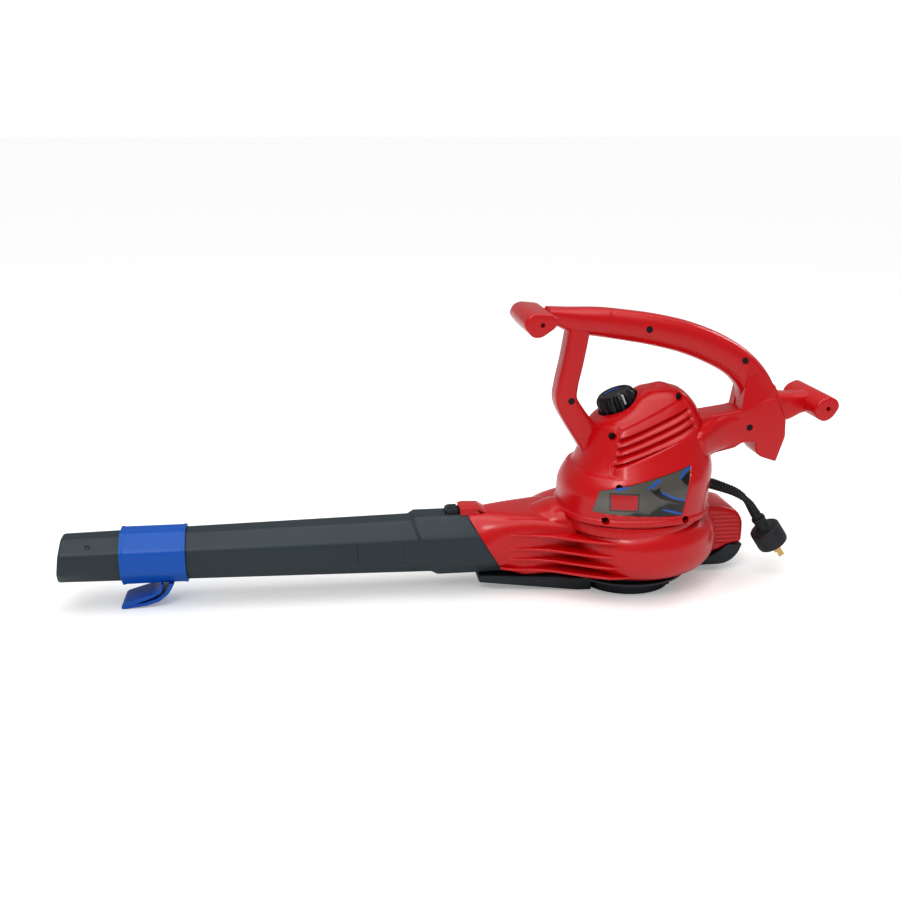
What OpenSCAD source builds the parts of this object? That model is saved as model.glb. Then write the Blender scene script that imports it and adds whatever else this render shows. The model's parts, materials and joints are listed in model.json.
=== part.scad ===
// Corded leaf blower and vacuum, as a jointed assembly. Millimetres.
// +X points to the rear, the blower tube runs along -X, +Z is up.
// The origin is on the fan axis, on the ground under the inlet cover.

/* [Fan housing] */
// Outside radius of the scroll's first quarter turn
scroll_r = 95.5; // [90:0.5:112]
// How far the scroll opens with each quarter turn
scroll_step = 15; // [11:0.5:18]
// Underside of the scroll above the ground
scroll_bottom = 19; // [17:0.5:24]
// Outside height of the scroll
scroll_h = 69; // [60:1:84]
// Wall of the moulded housings
wall = 3; // [2.4:0.1:3.6]
// Radius of the air inlet in the lower housing
inlet_r = 46; // [38:0.5:48]

/* [Fan] */
// Radius of the impeller
fan_r = 58; // [48:0.5:59]
// Number of impeller blades
fan_blades = 10; // [6:1:14]
// Radius of the motor shaft
shaft_r = 4; // [3:0.1:5]

/* [Blower tube] */
// Height of the tube's axis above the ground
tube_z = 55; // [52:0.5:62]
// Length of the tube in front of its slanted collar edge
tube_len = 455; // [300:5:560]
// Half height of the tube at its tip
tube_tip_r = 25; // [24:0.5:28]
// Half height of the tube in front of its collar
tube_back_r = 31.3; // [29:0.1:33]
// Half height of the tube's collar
collar_r = 35; // [34:0.5:37]
// Radius of the bore at the tip
outlet_r = 22; // [18:0.5:22.5]

/* [Scraper clip] */
// Length of the clip's sleeve
clip_len = 69; // [50:1:90]
// Wall of the clip
clip_wall = 3.2; // [2.4:0.1:4]
// Width of the scraper foot
foot_w = 40; // [30:1:50]

/* [Handle and motor shell] */
// Width of the grip
grip_w = 34; // [30:1:40]
// Width of the lower arm
arm_w = 40; // [34:1:46]
// Width across the cord hooks
hook_w = 90; // [70:1:110]
// Radius of the motor stator
stator_r = 40; // [36:0.5:42]
// Stack height of the stator
stator_h = 36; // [28:1:38]

/* [Speed dial] */
// Radius of the dial
dial_r = 22.5; // [18:0.5:23]
// Height of the dial
dial_h = 25; // [18:1:28]
// Lean of the dial towards the front
dial_lean = 22; // [15:1:30]

/* [Inlet cover] */
// Outside radius of the cover
cover_r = 52; // [50:0.5:54]
// Reach of the cover's arm in front of the fan axis
arm_reach = 172; // [140:1:176]

/* [Power cord] */
// Diameter of the cord
cord_d = 7.5; // [6:0.5:9]
// Radius of the plug body
plug_r = 18; // [14:0.5:20]

/* [Hidden] */
$fn = 64;
run_fit = 0.05;      // running clearance of a shaft or pin, on the radius
slip = 0.3;          // sliding clearance between bodies
seat = 0.02;         // clearance of a seated ring on its shaft
eps = 0.5;           // overlap of cutting tools past a face

scroll_top = scroll_bottom + scroll_h;
scroll_low_round = 12;
scroll_top_round = 14;
half_step = scroll_step / 2;
opening_r = scroll_r - scroll_step - 20.2;   // service opening under the fan
ring_r = 80.5;                               // seat ring of the motor shell
ring_h = 2;
shell_z = scroll_top + ring_h;
lift = shell_z - 90;                         // rise of the handle and dial with a taller scroll

neck_r = collar_r + 2;
spigot_r = neck_r - 4;
neck_bore_r = spigot_r + slip;
neck_end_x = -125;           // where the round neck meets the scroll
spigot_end_x = neck_end_x - 3;
mouth_x = -169.5;            // neck mouth on the tube axis
mouth_lean = 31.3;           // lean of the mouth from upright
tip_x = mouth_x - tube_len;
tip_lean = 7.7;
step_x = mouth_x - 66.5;     // front of the collar

flange_t = 2.5;
flange_z = scroll_bottom - flange_t;
collar_wall = 2;
inlet_collar_z = 8;
cover_wall = 3;
cover_top = flange_z - 0.5;
hinge_x = cover_r + 9;
hinge_z = 12.3;
hinge_pin_r = 2;
knuckle_r = 4.2;
cam_rise = 1.8;
cam_sweep = 100;
cover_arm_w = 38;
rail_t = 3;
rail_top = scroll_bottom - 0.7;

plunger_z = 13.4;
plunger_y = 15;

latch_x = -214;              // front of the thumb latch
latch_len = 15;
latch_w = 20;
latch_travel = 3;
tongue_w = 16;
tongue_end_x = -184;
tongue_z = tube_z + collar_r + 1.6;
bridge_roof_z = tube_z + collar_r + 4.6;
clip_x1 = mouth_x - 321;     // rear edge of the scraper clip's sleeve
clip_x0 = clip_x1 - clip_len;

rear_x0 = 68;                // front of the rear foot
rear_x1 = 143;
rear_y0 = 4;
rear_y1 = 72;

bearing_r = 11;
bearing_h = 7;
bearing_low_z = scroll_top;
bracket_z = scroll_top + 4;
bracket_t = 3;
bracket_r = 38;
stator_z = scroll_top + 18;
commutator_z = stator_z + stator_h + 6;
commutator_h = 12;
commutator_r = 11;
top_plate_z = commutator_z + commutator_h + 1;
bearing_top_z = top_plate_z + bracket_t;
shaft_top = bearing_top_z + bearing_h;
post_x = stator_r - 7;
post_r = 4.6;
through_r = 2;
fan_z = 32;
fan_h = 26;
backplate_t = 2.5;
nut_z = 20.4;

dial_base = [-11, 0, 198 + lift];
dial_boss_r = dial_r + 2;
spindle_r = 3;
pointer_turn = 100;          // where the pointer stands at rest, from the front towards the left

cord_r = cord_d / 2;
// The cord leaves the shell at its first point and enters the plug at its last.
cord_route = [[90, 113], [97, 110.5], [104, 108], [115, 104], [127, 99],
              [137, 92.5], [145, 84.5], [151, 75.5], [157, 66.5]];
relief_route = [[89, 113.4], [97, 110.5], [104, 108], [115, 104], [127, 99]];
plug_boot_route = [[145, 84.5], [151, 75.5], [157, 66.5]];
plug_lean = 146.3;           // the plug's axis, turned from straight up towards +X
lead_route = [[84, 115], [80, 112], [74, 111], [68, 114], [64, 124], [64, 150], [59, 168],
              [47, 180]];
lead_r = 2.4;
clamp_z = 106;
low_screw = [-29, 129 + lift];      // screw low on the left of the motor dome
low_screw_y = -62;

screw_r = 1.7;
screw_head_r = 3.4;
function volute_screw_places() = [for (a = [60, 120, 240, 300]) 64.5 * [cos(a), sin(a)]];
function base_screw_places() = [for (a = [55, 125, 235, 305]) [1, 0] + 76 * [cos(a), sin(a)]];

// ---------- shared shapes ----------

// Closed solid through rings of equal length, given from bottom to top, each anticlockwise.
module loft(rings) {
  n = len(rings[0]);
  m = len(rings);
  sides = [for (j = [0:m - 2], i = [0:n - 1])
             [j * n + i, (j + 1) * n + i, (j + 1) * n + (i + 1) % n, j * n + (i + 1) % n]];
  polyhedron(points = [for (r = rings) each r],
             faces = concat([[for (i = [0:n - 1]) i]], sides,
                            [[for (i = [n - 1:-1:0]) (m - 1) * n + i]]));
}

function signed_power(v, p) = sign(v) * pow(abs(v), p);

// Superellipse ring: centre x, half sizes, height, squareness.
function oval_ring(cx, rx, ry, z, n = 32, square = 2.3) =
  [for (i = [0:n - 1]) let (a = 360 * i / n)
     [cx + rx * signed_power(cos(a), 2 / square), ry * signed_power(sin(a), 2 / square), z]];

// Octagon of inner radius r with its corners cut back to a circle.
corner_reach = 1.045;
function eight_sided_ring(r, z) =
  let (b = acos(1 / corner_reach), q = r * corner_reach)
    [for (k = [0:7], d = [-b, b, 22.5]) [q * cos(45 * k + d), q * sin(45 * k + d), z]];

// Runs local Z along world X.
module along_x() { rotate([0, 90, 0]) children(); }

// A flat XZ outline given thickness along Y, centred on y.
module slab(y, t) { translate([0, y + t / 2, 0]) rotate([90, 0, 0]) linear_extrude(t) children(); }

module y_cylinder(x, z, y0, y1, r) {
  translate([x, y1, z]) rotate([90, 0, 0]) cylinder(h = y1 - y0, r = r);
}

function arc2(cx, cy, r, a0, a1, n = 5) =
  [for (i = [0:n]) let (a = a0 + (a1 - a0) * i / n) [cx + r * cos(a), cy + r * sin(a)]];

// Tube of round section along XZ points at y = 0; radii is one value for each point.
module swept_tube(pts, radii, sides = 10) {
  last = len(pts) - 1;
  rings = [for (k = [0:last])
    let (a = pts[max(k - 1, 0)], b = pts[min(k + 1, last)],
         d = (b - a) / norm(b - a), side = [-d[1], d[0]])
      [for (i = [0:sides - 1]) let (t = 360 * i / sides)
        [pts[k][0] + radii[k] * cos(t) * side[0], radii[k] * sin(t),
         pts[k][1] + radii[k] * cos(t) * side[1]]]];
  loft(rings);
}

// ---------- fan housing ----------

// Half section of the scroll at radius r, pulled in by inset.
module scroll_section(r, inset) {
  low = scroll_low_round - inset;
  top = scroll_top_round - inset;
  z0 = scroll_bottom + inset;
  z1 = scroll_top - inset;
  q = r - inset;
  polygon(concat([[0, z0]], arc2(q - low, z0 + low, low, -90, 0),
                 arc2(q - top, z1 - top, top, 0, 90), [[0, z1]]));
}

// Four quarter turns, each from its own centre, so that the scroll opens without a step.
module scroll(inset) {
  h = half_step;
  quarters = [[[h, -h], 180, scroll_r - scroll_step], [[h, h], 270, scroll_r],
              [[-h, h], 0, scroll_r + scroll_step], [[-h, -h], 90, scroll_r + 2 * scroll_step]];
  for (q = quarters)
    translate([q[0][0], q[0][1], 0]) rotate([0, 0, q[1]])
      rotate_extrude(angle = 90) scroll_section(q[2], inset);
  translate([-h, -h, scroll_bottom + inset]) cube([2 * h, 2 * h, scroll_h - 2 * inset]);
}

// The neck's round part and its spread into the scroll.
module neck(r, inset) {
  translate([mouth_x - 30, 0, tube_z]) along_x() cylinder(h = neck_end_x - mouth_x + 30, r = r);
  hull() {
    translate([neck_end_x - 0.5, 0, tube_z]) along_x() cylinder(h = 1, r = r - slip, $fn = 32);
    translate([-100, -36 + inset, scroll_bottom + inset])
      cube([25, 76 - inset, scroll_h - 2 * inset - 1]);
  }
}

// Everything in front of the slanted neck mouth, moved forward by gap.
module before_mouth(gap = 0) {
  translate([mouth_x - gap, 0, tube_z]) rotate([0, -mouth_lean, 0])
    translate([-900, -80, -700]) cube([900, 160, 1400]);
}

// Curved outline of the fins that bridge the neck and the scroll.
module fin_outline() {
  polygon([[-148, -20], [-146, -36], [-118, -38], [-92, -44], [-68, -58], [-42, -76], [-20, -40]]);
}

module rear_outline() {
  polygon(concat([[96, 22], [96, 82]], arc2(125, 58, 18, 70, 0),
                 [[rear_x1, 33], [126, 33], [114, 24], [104, 22]]));
}

module rear_block() {
  difference() {
    slab((rear_y0 + rear_y1) / 2, rear_y1 - rear_y0) rear_outline();
    slab((rear_y0 + rear_y1) / 2, rear_y1 - rear_y0 - 2 * wall)
      polygon([[96, 23], [104, 25], [113, 27], [125, 36], [rear_x1 - wall, 36],
               [rear_x1 - wall, 58], [136, 69], [124, 73], [96, 78]]);
    for (i = [0:7]) translate([106, rear_y0 - 1, 32 + i * 5.2]) cube([32, 1.8, 1.6]);
  }
}

module volute_upper() color([0.8, 0.03, 0.05]) {
  difference() {
    union() {
      difference() {
        union() {
          difference() {
            rear_block();
            scroll(1);
          }
          scroll(0);
          neck(neck_r, 0);
          translate([1, 0, scroll_top - 8]) cylinder(h = 8 + ring_h, r = ring_r);
          for (z = [32, 44, 56, 71]) translate([0, 0, z]) linear_extrude(2.6) fin_outline();
          translate([-199, -14, tube_z + 30]) cube([20, 28, collar_r - 23]);
        }
        scroll(wall);
        neck(neck_bore_r, wall);
        translate([1, 0, scroll_top]) cylinder(h = ring_h + eps, r = ring_r - 9);
        before_mouth();
      }
      for (p = volute_screw_places()) translate([p[0], p[1], scroll_bottom])
        cylinder(h = 12, r = 4.6);
    }
    translate([0, 0, scroll_bottom - eps]) cylinder(h = wall + 2 * eps, r = opening_r);
    translate([0, 0, scroll_top - wall - eps]) cylinder(h = wall + 2 * eps, r = 24);
    for (p = volute_screw_places()) translate([p[0], p[1], scroll_bottom - eps])
      cylinder(h = 10 + eps, r = screw_r + seat);
    for (p = base_screw_places()) translate([p[0], p[1], scroll_top - wall - 6]) {
      cylinder(h = 6, r = screw_head_r + slip);
      cylinder(h = 6 + wall + ring_h + eps, r = screw_r + seat);
    }
    // slot under the bridge for the latch's tongue, and the window for its tooth
    translate([-205, -tongue_w / 2 - 1, spigot_r + tube_z + 0.4])
      cube([23, tongue_w + 2, bridge_roof_z - spigot_r - tube_z - 0.4]);
    translate([-189, -tongue_w / 2 - 1, bridge_roof_z - eps]) cube([6, tongue_w + 2, 8]);
  }
}

module rear_foot_outline(inset) {
  q = 28 - inset;
  polygon(concat([[rear_x0 + inset, scroll_bottom - 0.4 - inset], [rear_x0 + inset, 8 + inset]],
                 arc2(115, 36, q, -90, -asin(3.3 / q)),
                 [[126.2, 32.7], [114.2, 23.6], [106, 21.6],
                  [104, scroll_bottom - 0.4 - inset]]));
}

module volute_lower() color([0.14, 0.17, 0.19]) {
  difference() {
    union() {
      translate([0, 0, flange_z]) cylinder(h = flange_t, r = opening_r + 8);
      translate([0, 0, flange_z]) cylinder(h = flange_t + wall, r = opening_r - seat);
      translate([0, 0, inlet_collar_z]) cylinder(h = flange_z, r = inlet_r + collar_wall);
      difference() {
        slab((rear_y0 + rear_y1) / 2, rear_y1 - rear_y0) rear_foot_outline(0);
        slab((rear_y0 + rear_y1) / 2, rear_y1 - rear_y0 - 2 * wall)
          rear_foot_outline(2.4);
      }
      translate([rear_x0 - 14, rear_y0 + 2, flange_z]) cube([20, 44, 2]);
      for (s = [-1, 1]) y_lug(s * 9, 4);
    }
    translate([0, 0, -eps]) cylinder(h = scroll_bottom + eps, r = inlet_r);
    translate([0, 0, scroll_bottom - eps]) cylinder(h = 20, r = inlet_r + 0.6);
    // room for the cam as it turns
    translate([hinge_x - 8, plunger_y - 4, flange_z - eps]) cube([16, 8, 1 + eps]);
    for (s = [-1, 1]) y_cylinder(hinge_x, hinge_z, s * 9 - 3, s * 9 + 3, hinge_pin_r + seat);
    for (p = volute_screw_places()) translate([p[0], p[1], 10]) cylinder(h = 12, r = 2.1);
    y_cylinder_x(rear_x0 - eps, 12, plunger_z, 1.6 + run_fit, plunger_y);
  }
}

// Hinge lug of the lower housing: a block that hangs from the flange.
module y_lug(y, t) {
  slab(y, t) union() {
    translate([hinge_x, hinge_z]) circle(r = knuckle_r);
    polygon([[hinge_x - knuckle_r, hinge_z], [hinge_x - knuckle_r, flange_z + 1],
             [hinge_x + knuckle_r, flange_z + 1], [hinge_x + knuckle_r, hinge_z]]);
  }
}

module y_cylinder_x(x, len, z, r, y) {
  translate([x, y, z]) along_x() cylinder(h = len, r = r);
}

module cover_pin() color("silver")
  y_cylinder(hinge_x, hinge_z, -12, 20, hinge_pin_r);

// Spiral cam: its radius grows evenly below the pin, so the plunger moves in step with the hinge.
module cam_outline() {
  steps = 10;
  polygon(concat(
    [for (i = [0:steps]) let (a = -cam_sweep * i / steps, q = knuckle_r + cam_rise * i / steps)
       q * [cos(a), sin(a)]],
    [for (i = [1:4]) let (a = -cam_sweep - 20 * i, q = knuckle_r + cam_rise * (4 - i) / 4)
       q * [cos(a), sin(a)]],
    [for (i = [1:6]) let (a = 180 - 30 * i) knuckle_r * [cos(a), sin(a)]]));
}

module inlet_cover() color([0.14, 0.17, 0.19]) {
  difference() {
    union() {
      cylinder(h = cover_top, r = cover_r);
      slab(0, 12) polygon([[cover_r - 2, 4], [cover_r - 2, cover_top - 1], [hinge_x, hinge_z + 3],
                           [hinge_x, hinge_z - 4]]);
      y_cylinder(hinge_x, hinge_z, -6, 6, knuckle_r);
      slab(plunger_y, 6) translate([hinge_x, hinge_z]) cam_outline();
      slab(plunger_y, 6) polygon([[cover_r - 12, 4], [cover_r - 12, 12],
                                  [hinge_x, hinge_z + 2], [hinge_x, hinge_z - 4]]);
      cover_arm();
    }
    difference() {
      translate([0, 0, cover_wall]) cylinder(h = cover_top, r = cover_r - cover_wall);
      cylinder(h = 7, r = 9);
    }
    for (a = [0:20:340]) rotate([0, 0, a])
      translate([17, -2, -eps]) cube([26, 4, cover_wall + 2 * eps]);
    translate([0, 0, -eps]) difference() {
      cylinder(h = 1.5 + eps, r = 46);
      cylinder(h = 1.5 + eps, r = 14);
    }
    y_cylinder(hinge_x, hinge_z, -7, plunger_y + 4, hinge_pin_r + run_fit);
  }
}

// Channel-shaped arm that reaches forward under the neck.
module cover_arm() {
  side = [[-cover_r + 4, 1], [-60, 1], [-arm_reach, 10], [-arm_reach, rail_top], [-84, rail_top],
          [-70, rail_top - 2], [-cover_r + 4, cover_top]];
  difference() {
    slab(0, cover_arm_w) polygon(side);
    translate([0, 0, -eps]) cylinder(h = 30, r = cover_r - cover_wall);
    slab(0, cover_arm_w - 2 * rail_t)
      polygon([[-cover_r - 3, 5], [-62, 5], [-arm_reach + 4, 13.4], [-arm_reach + 4, 30],
               [-cover_r - 3, 30]]);
  }
}

// ---------- fan and motor ----------

module impeller() color([0.2, 0.2, 0.21]) difference() {
  union() {
    translate([0, 0, 30]) cylinder(h = fan_z + fan_h + backplate_t - 30, r = 10);
    translate([0, 0, fan_z + fan_h]) cylinder(h = backplate_t, r = fan_r);
    for (i = [0:fan_blades - 1]) rotate([0, 0, 360 * i / fan_blades])
      translate([9, -1.1, fan_z]) cube([fan_r - 9.5, 2.2, fan_h + eps]);
  }
  translate([0, 0, 20]) cylinder(h = 60, r = shaft_r + seat);
}

module impeller_nut() color("silver") difference() {
  translate([0, 0, nut_z]) cylinder(h = 6, r = 7, $fn = 6);
  translate([0, 0, nut_z - eps]) cylinder(h = 7, r = shaft_r + seat);
}

module impeller_washer() color("silver") difference() {
  translate([0, 0, nut_z + 6]) cylinder(h = 1.6, r = 9);
  translate([0, 0, nut_z]) cylinder(h = 9, r = shaft_r + seat);
}

module shredder_blade() color([0.6, 0.62, 0.64]) difference() {
  translate([0, 0, nut_z + 7.6]) linear_extrude(2)
    polygon([[-34, -3], [-24, -6], [24, -6], [34, -1], [34, 3], [24, 6], [-24, 6], [-34, 1]]);
  translate([0, 0, nut_z]) cylinder(h = 12, r = shaft_r + seat);
}

module fan_spacer() color("silver") difference() {
  translate([0, 0, fan_z + fan_h + backplate_t])
    cylinder(h = bearing_low_z - fan_z - fan_h - backplate_t - slip, r = 6);
  cylinder(h = 120, r = shaft_r + seat);
}

module rotor_shaft() color("silver") translate([0, 0, nut_z]) cylinder(h = shaft_top - nut_z, r = shaft_r);

module armature_core() color([0.45, 0.45, 0.46]) difference() {
  translate([0, 0, stator_z + 1]) cylinder(h = stator_h - 2, r = 21.8);
  translate([0, 0, stator_z]) cylinder(h = stator_h, r = shaft_r + seat);
  for (a = [0:30:330]) rotate([0, 0, a]) translate([19, -1, stator_z]) cube([5, 2, stator_h]);
}

module armature_windings() color([0.72, 0.38, 0.16])
  for (z = [stator_z - 4, stator_z + stator_h - 1]) difference() {
    translate([0, 0, z]) cylinder(h = 5, r = 18.5);
    translate([0, 0, z - eps]) cylinder(h = 6, r = shaft_r + 2);
  }

module commutator() color([0.75, 0.45, 0.22]) difference() {
  translate([0, 0, commutator_z]) cylinder(h = commutator_h, r = commutator_r);
  translate([0, 0, commutator_z - eps]) cylinder(h = commutator_h + 1, r = shaft_r + seat);
  for (a = [0:30:330]) rotate([0, 0, a])
    translate([commutator_r - 1.5, -0.4, commutator_z - eps]) cube([3, 0.8, commutator_h + 1]);
}

module cooling_fan() color([0.85, 0.85, 0.8]) difference() {
  union() {
    translate([0, 0, scroll_top + 9]) cylinder(h = 4, r = 8);
    translate([0, 0, scroll_top + 12]) cylinder(h = 1.4, r = 20);
    for (a = [0:36:324]) rotate([0, 0, a])
      translate([7, -0.7, scroll_top + 9]) cube([13, 1.4, 3.5]);
  }
  cylinder(h = 140, r = shaft_r + seat);
}

module stator_core() color([0.5, 0.5, 0.52]) difference() {
  translate([0, 0, stator_z]) cylinder(h = stator_h, r = stator_r);
  translate([0, 0, stator_z - eps]) cylinder(h = stator_h + 1, r = 23);
  for (s = [-1, 1]) translate([-17, s * 26.5 - 7, stator_z - eps]) cube([34, 14, stator_h + 1]);
  for (s = [-1, 1]) translate([s * post_x, 0, stator_z - eps])
    cylinder(h = stator_h + 1, r = through_r + seat);
}

module field_coils() color([0.72, 0.38, 0.16])
  for (s = [-1, 1]) difference() {
    translate([-16.5, s * 28.5 - 4.5, stator_z - 5]) cube([33, 9, stator_h + 10]);
    translate([-9, s * 28.5 - 6, stator_z + 5]) cube([18, 12, stator_h - 10]);
  }

module ball_bearing(z) color("silver") difference() {
  translate([0, 0, z]) cylinder(h = bearing_h, r = bearing_r);
  translate([0, 0, z - eps]) cylinder(h = bearing_h + 1, r = shaft_r + run_fit);
  for (zz = [z - eps, z + bearing_h - 0.8]) translate([0, 0, zz]) difference() {
    cylinder(h = 0.8 + eps, r = 8.8);
    cylinder(h = 0.8 + eps, r = 6.2);
  }
}

module lower_bearing() { ball_bearing(bearing_low_z); }
module upper_bearing() { ball_bearing(bearing_top_z); }

module bearing_retainer() color([0.6, 0.62, 0.64]) difference() {
  translate([0, 0, bearing_low_z + bearing_h]) cylinder(h = 1.2, r = 16);
  translate([0, 0, bearing_low_z + bearing_h - eps]) cylinder(h = 3, r = 9.5);
}

module motor_base_bracket() color([0.7, 0.71, 0.72]) difference() {
  union() {
    translate([0, 0, bracket_z]) cylinder(h = bracket_t, r = bracket_r);
    translate([0, 0, bearing_low_z - 1]) cylinder(h = bearing_h + 1, r = bearing_r + 3);
    for (s = [-1, 1]) translate([s * post_x, 0, bracket_z])
      cylinder(h = stator_z - bracket_z, r = post_r);
  }
  translate([0, 0, bearing_low_z]) cylinder(h = 20, r = bearing_r + seat);
  translate([0, 0, bearing_low_z - 2]) cylinder(h = 4, r = 8);
  for (s = [-1, 1]) translate([s * post_x, 0, bracket_z - eps])
    cylinder(h = 30, r = through_r + seat);
}

module motor_top_bracket() color([0.7, 0.71, 0.72]) difference() {
  union() {
    translate([-bracket_r, -14, top_plate_z]) cube([2 * bracket_r, 28, bracket_t]);
    translate([-9, -bracket_r, top_plate_z]) cube([18, 2 * bracket_r, bracket_t]);
    translate([0, 0, top_plate_z]) cylinder(h = bracket_t + bearing_h, r = bearing_r + 3);
    for (s = [-1, 1]) translate([s * post_x, 0, stator_z + stator_h])
      cylinder(h = top_plate_z - stator_z - stator_h + eps, r = post_r);
  }
  translate([0, 0, bearing_top_z]) cylinder(h = 20, r = bearing_r + seat);
  translate([0, 0, top_plate_z - 1]) cylinder(h = 6, r = 9);
  for (s = [-1, 1]) translate([s * post_x, 0, stator_z])
    cylinder(h = 80, r = through_r + seat);
}

module motor_mount_ring() color([0.08, 0.08, 0.08]) difference() {
  translate([0, 0, scroll_top]) cylinder(h = bracket_z - scroll_top, r = bracket_r - 1);
  translate([0, 0, scroll_top - eps]) cylinder(h = 6, r = 27);
}

module motor_screws() color("silver") for (s = [-1, 1]) translate([s * post_x, 0, 0]) {
  translate([0, 0, bracket_z]) cylinder(h = top_plate_z + bracket_t - bracket_z + 0.5, r = through_r);
  translate([0, 0, top_plate_z + bracket_t]) cylinder(h = 2.6, r = 4);
}

module brush_holders() color([0.75, 0.6, 0.25])
  for (s = [0, 180]) rotate([0, 0, s]) difference() {
    translate([-4.5, 13, commutator_z + 0.5]) cube([9, 22, top_plate_z - commutator_z - 0.5]);
    translate([-3, 12, commutator_z + 2]) cube([6, 21.5, 8]);
  }

module carbon_brushes() color([0.12, 0.12, 0.12]) for (s = [0, 180]) rotate([0, 0, s])
  translate([-2.9, commutator_r + 0.3, commutator_z + 2.1]) cube([5.8, 13, 7.8]);

module brush_springs() color("silver") for (s = [0, 180]) rotate([0, 0, s]) difference() {
  translate([0, commutator_r + 13.3, commutator_z + 6]) rotate([-90, 0, 0]) cylinder(h = 9, r = 2.6);
  translate([0, commutator_r + 13, commutator_z + 6]) rotate([-90, 0, 0]) cylinder(h = 10, r = 1.9);
}

// ---------- motor and handle shell ----------

// Sections of the motor dome from its foot to its crown: height, centre x, half length, half width.
dome_sections = [[0, 2, 86, 78], [30, 4, 86, 78], [42, 8, 83, 76], [54, 13, 78, 70],
                 [70, 14.5, 73, 62], [86, 15, 67, 55], [102, 16, 61, 47], [118, 28, 42, 36],
                 [132, 31, 27, 24], [141, 31, 12, 10]];

module dome(inset) {
  n = len(dome_sections);
  loft([for (i = [0:n - 1]) let (s = dome_sections[i])
    oval_ring(s[1], s[2] - inset, s[3] - inset,
              shell_z + s[0] - (i == n - 1 ? inset : i == 0 && inset > 0 ? 2 : 0))]);
}

module grip_outline() {
  polygon([[-108, 313], [-92, 316.5], [-41, 315], [15, 309], [73, 296], [118, 275], [155, 246],
           [167, 215], [173, 188], [121, 196], [119, 230], [92, 247], [50, 265], [-18, 279],
           [-54, 284], [-75, 287], [-98, 302]]);
}

module strut_outline() {
  polygon([[-76, 292], [-90, 213], [-50, 148], [-36, 176], [-41, 185], [-70, 220], [-54, 290]]);
}

module arm_outline() {
  polygon([[50, 186], [76, 194], [115, 199], [121, 196], [150, 211], [162, 213], [173, 188],
           [174, 168], [165, 139], [145, 146], [124, 155], [122, 168], [92, 152], [84, 146],
           [50, 138]]);
}

module stem_outline() { polygon([[160, 218], [200, 216], [205, 195], [176, 178]]); }

module front_hook_outline() {
  polygon([[-131, 304], [-125, 313], [-119, 316], [-100, 314], [-94, 309], [-97, 302],
           [-112, 291], [-120, 291]]);
}

module rear_hook_outline() {
  polygon([[194, 206], [199, 213], [211, 219], [220, 213], [222, 206], [215, 195], [206, 190],
           [197, 196]]);
}

module handle_solid(inset) translate([0, 0, lift]) {
  slab(0, grip_w - 2 * inset) offset(delta = -inset) union() {
    grip_outline();
    stem_outline();
  }
  slab(0, grip_w - 4 - 2 * inset) offset(delta = -inset) strut_outline();
  slab(0, arm_w - 2 * inset) offset(delta = -inset) arm_outline();
  slab(0, hook_w - 2 * inset) offset(delta = -inset) front_hook_outline();
  slab(0, hook_w - 2 * inset) offset(delta = -inset) rear_hook_outline();
}

function handle_screw_places() = [[12, 292 + lift, grip_w / 2], [122, 255 + lift, grip_w / 2],
                                  [-71, 215 + lift, grip_w / 2 - 2], [131, 180 + lift, arm_w / 2]];
function dome_screw_places() = [[-31, 181 + lift, 46], [46, 218.5 + lift, 30]];

module dial_frame() { translate(dial_base) rotate([0, -dial_lean, 0]) children(); }

// Round pocket in the dome round the dial, grown by t.
module dial_pocket(t) {
  dial_frame() translate([0, 0, -1 - t]) cylinder(h = 60, r = dial_r + 1.5 + t);
}

module shell_body() {
  difference() {
    union() {
      difference() {
        union() {
          handle_solid(0);
          dome(0);
          dial_frame() translate([0, 0, -18]) cylinder(h = 17, r = dial_boss_r);
        }
        difference() {
          dome(wall);
          dial_pocket(wall);
        }
        handle_solid(wall);
        dial_frame() translate([0, 0, -30]) cylinder(h = 26, r = dial_boss_r - wall);
      }
      for (p = handle_screw_places()) y_cylinder(p[0], p[1], -p[2], p[2], 4.6);
      for (p = dome_screw_places()) y_cylinder(p[0], p[1], -p[2], p[2], 6);
      intersection() {
        dome(0);
        union() {
          for (p = base_screw_places()) translate([p[0], p[1], shell_z]) cylinder(h = 12, r = 6.4);
          y_cylinder(low_screw[0], low_screw[1], -90, low_screw_y + 12, 6);
          // shelf under the cord clamp
          translate([66, -12, clamp_z - 6]) cube([24, 24, 6]);
        }
      }
    }
    dial_pocket(0);
    dial_frame() translate([0, 0, -6]) cylinder(h = 8, r = spindle_r + 0.6);
    for (i = [0:3], s = [-1, 1])
      translate([-22 - 2 * i, s * 55, 182 + lift - 12 * i]) rotate([0, -22.5, 0])
        translate([0, -30, -1.8]) cube([70, 60, 3.6]);
    // cord entry, with room for the strain relief's collar
    translate([75, 0, 118.4]) rotate([0, 110, 0]) cylinder(h = 30, r = 7.2);
    // notch that holds a loop of extension lead
    slab(0, arm_w + 2) translate([110, 151 + lift]) square([30, 12]);
    for (p = base_screw_places()) translate([p[0], p[1], shell_z - eps])
      cylinder(h = 9 + eps, r = screw_r + seat);
  }
}

module screw_cuts() {
  for (p = handle_screw_places()) {
    y_cylinder(p[0], p[1], -p[2] - 1, -p[2] + 3.2, screw_head_r + 0.4);
    y_cylinder(p[0], p[1], -p[2], p[2] - 2, screw_r + seat);
  }
  for (p = dome_screw_places()) {
    y_cylinder(p[0], p[1], -p[2] - 20, -p[2] + 12, screw_head_r + 0.6);
    y_cylinder(p[0], p[1], -p[2], 10, screw_r + seat);
  }
  y_cylinder(low_screw[0], low_screw[1], -90, low_screw_y, screw_head_r + 0.4);
  y_cylinder(low_screw[0], low_screw[1], low_screw_y - 1, low_screw_y + 10, screw_r + seat);
  for (s = [-1, 1]) {
    y_cylinder(-111, 304 + lift, s * hook_w / 2 - 8, s * hook_w / 2 + 8, 2.4);
    y_cylinder(209, 205 + lift, s * hook_w / 2 - 8, s * hook_w / 2 + 8, 2.4);
  }
}

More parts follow.
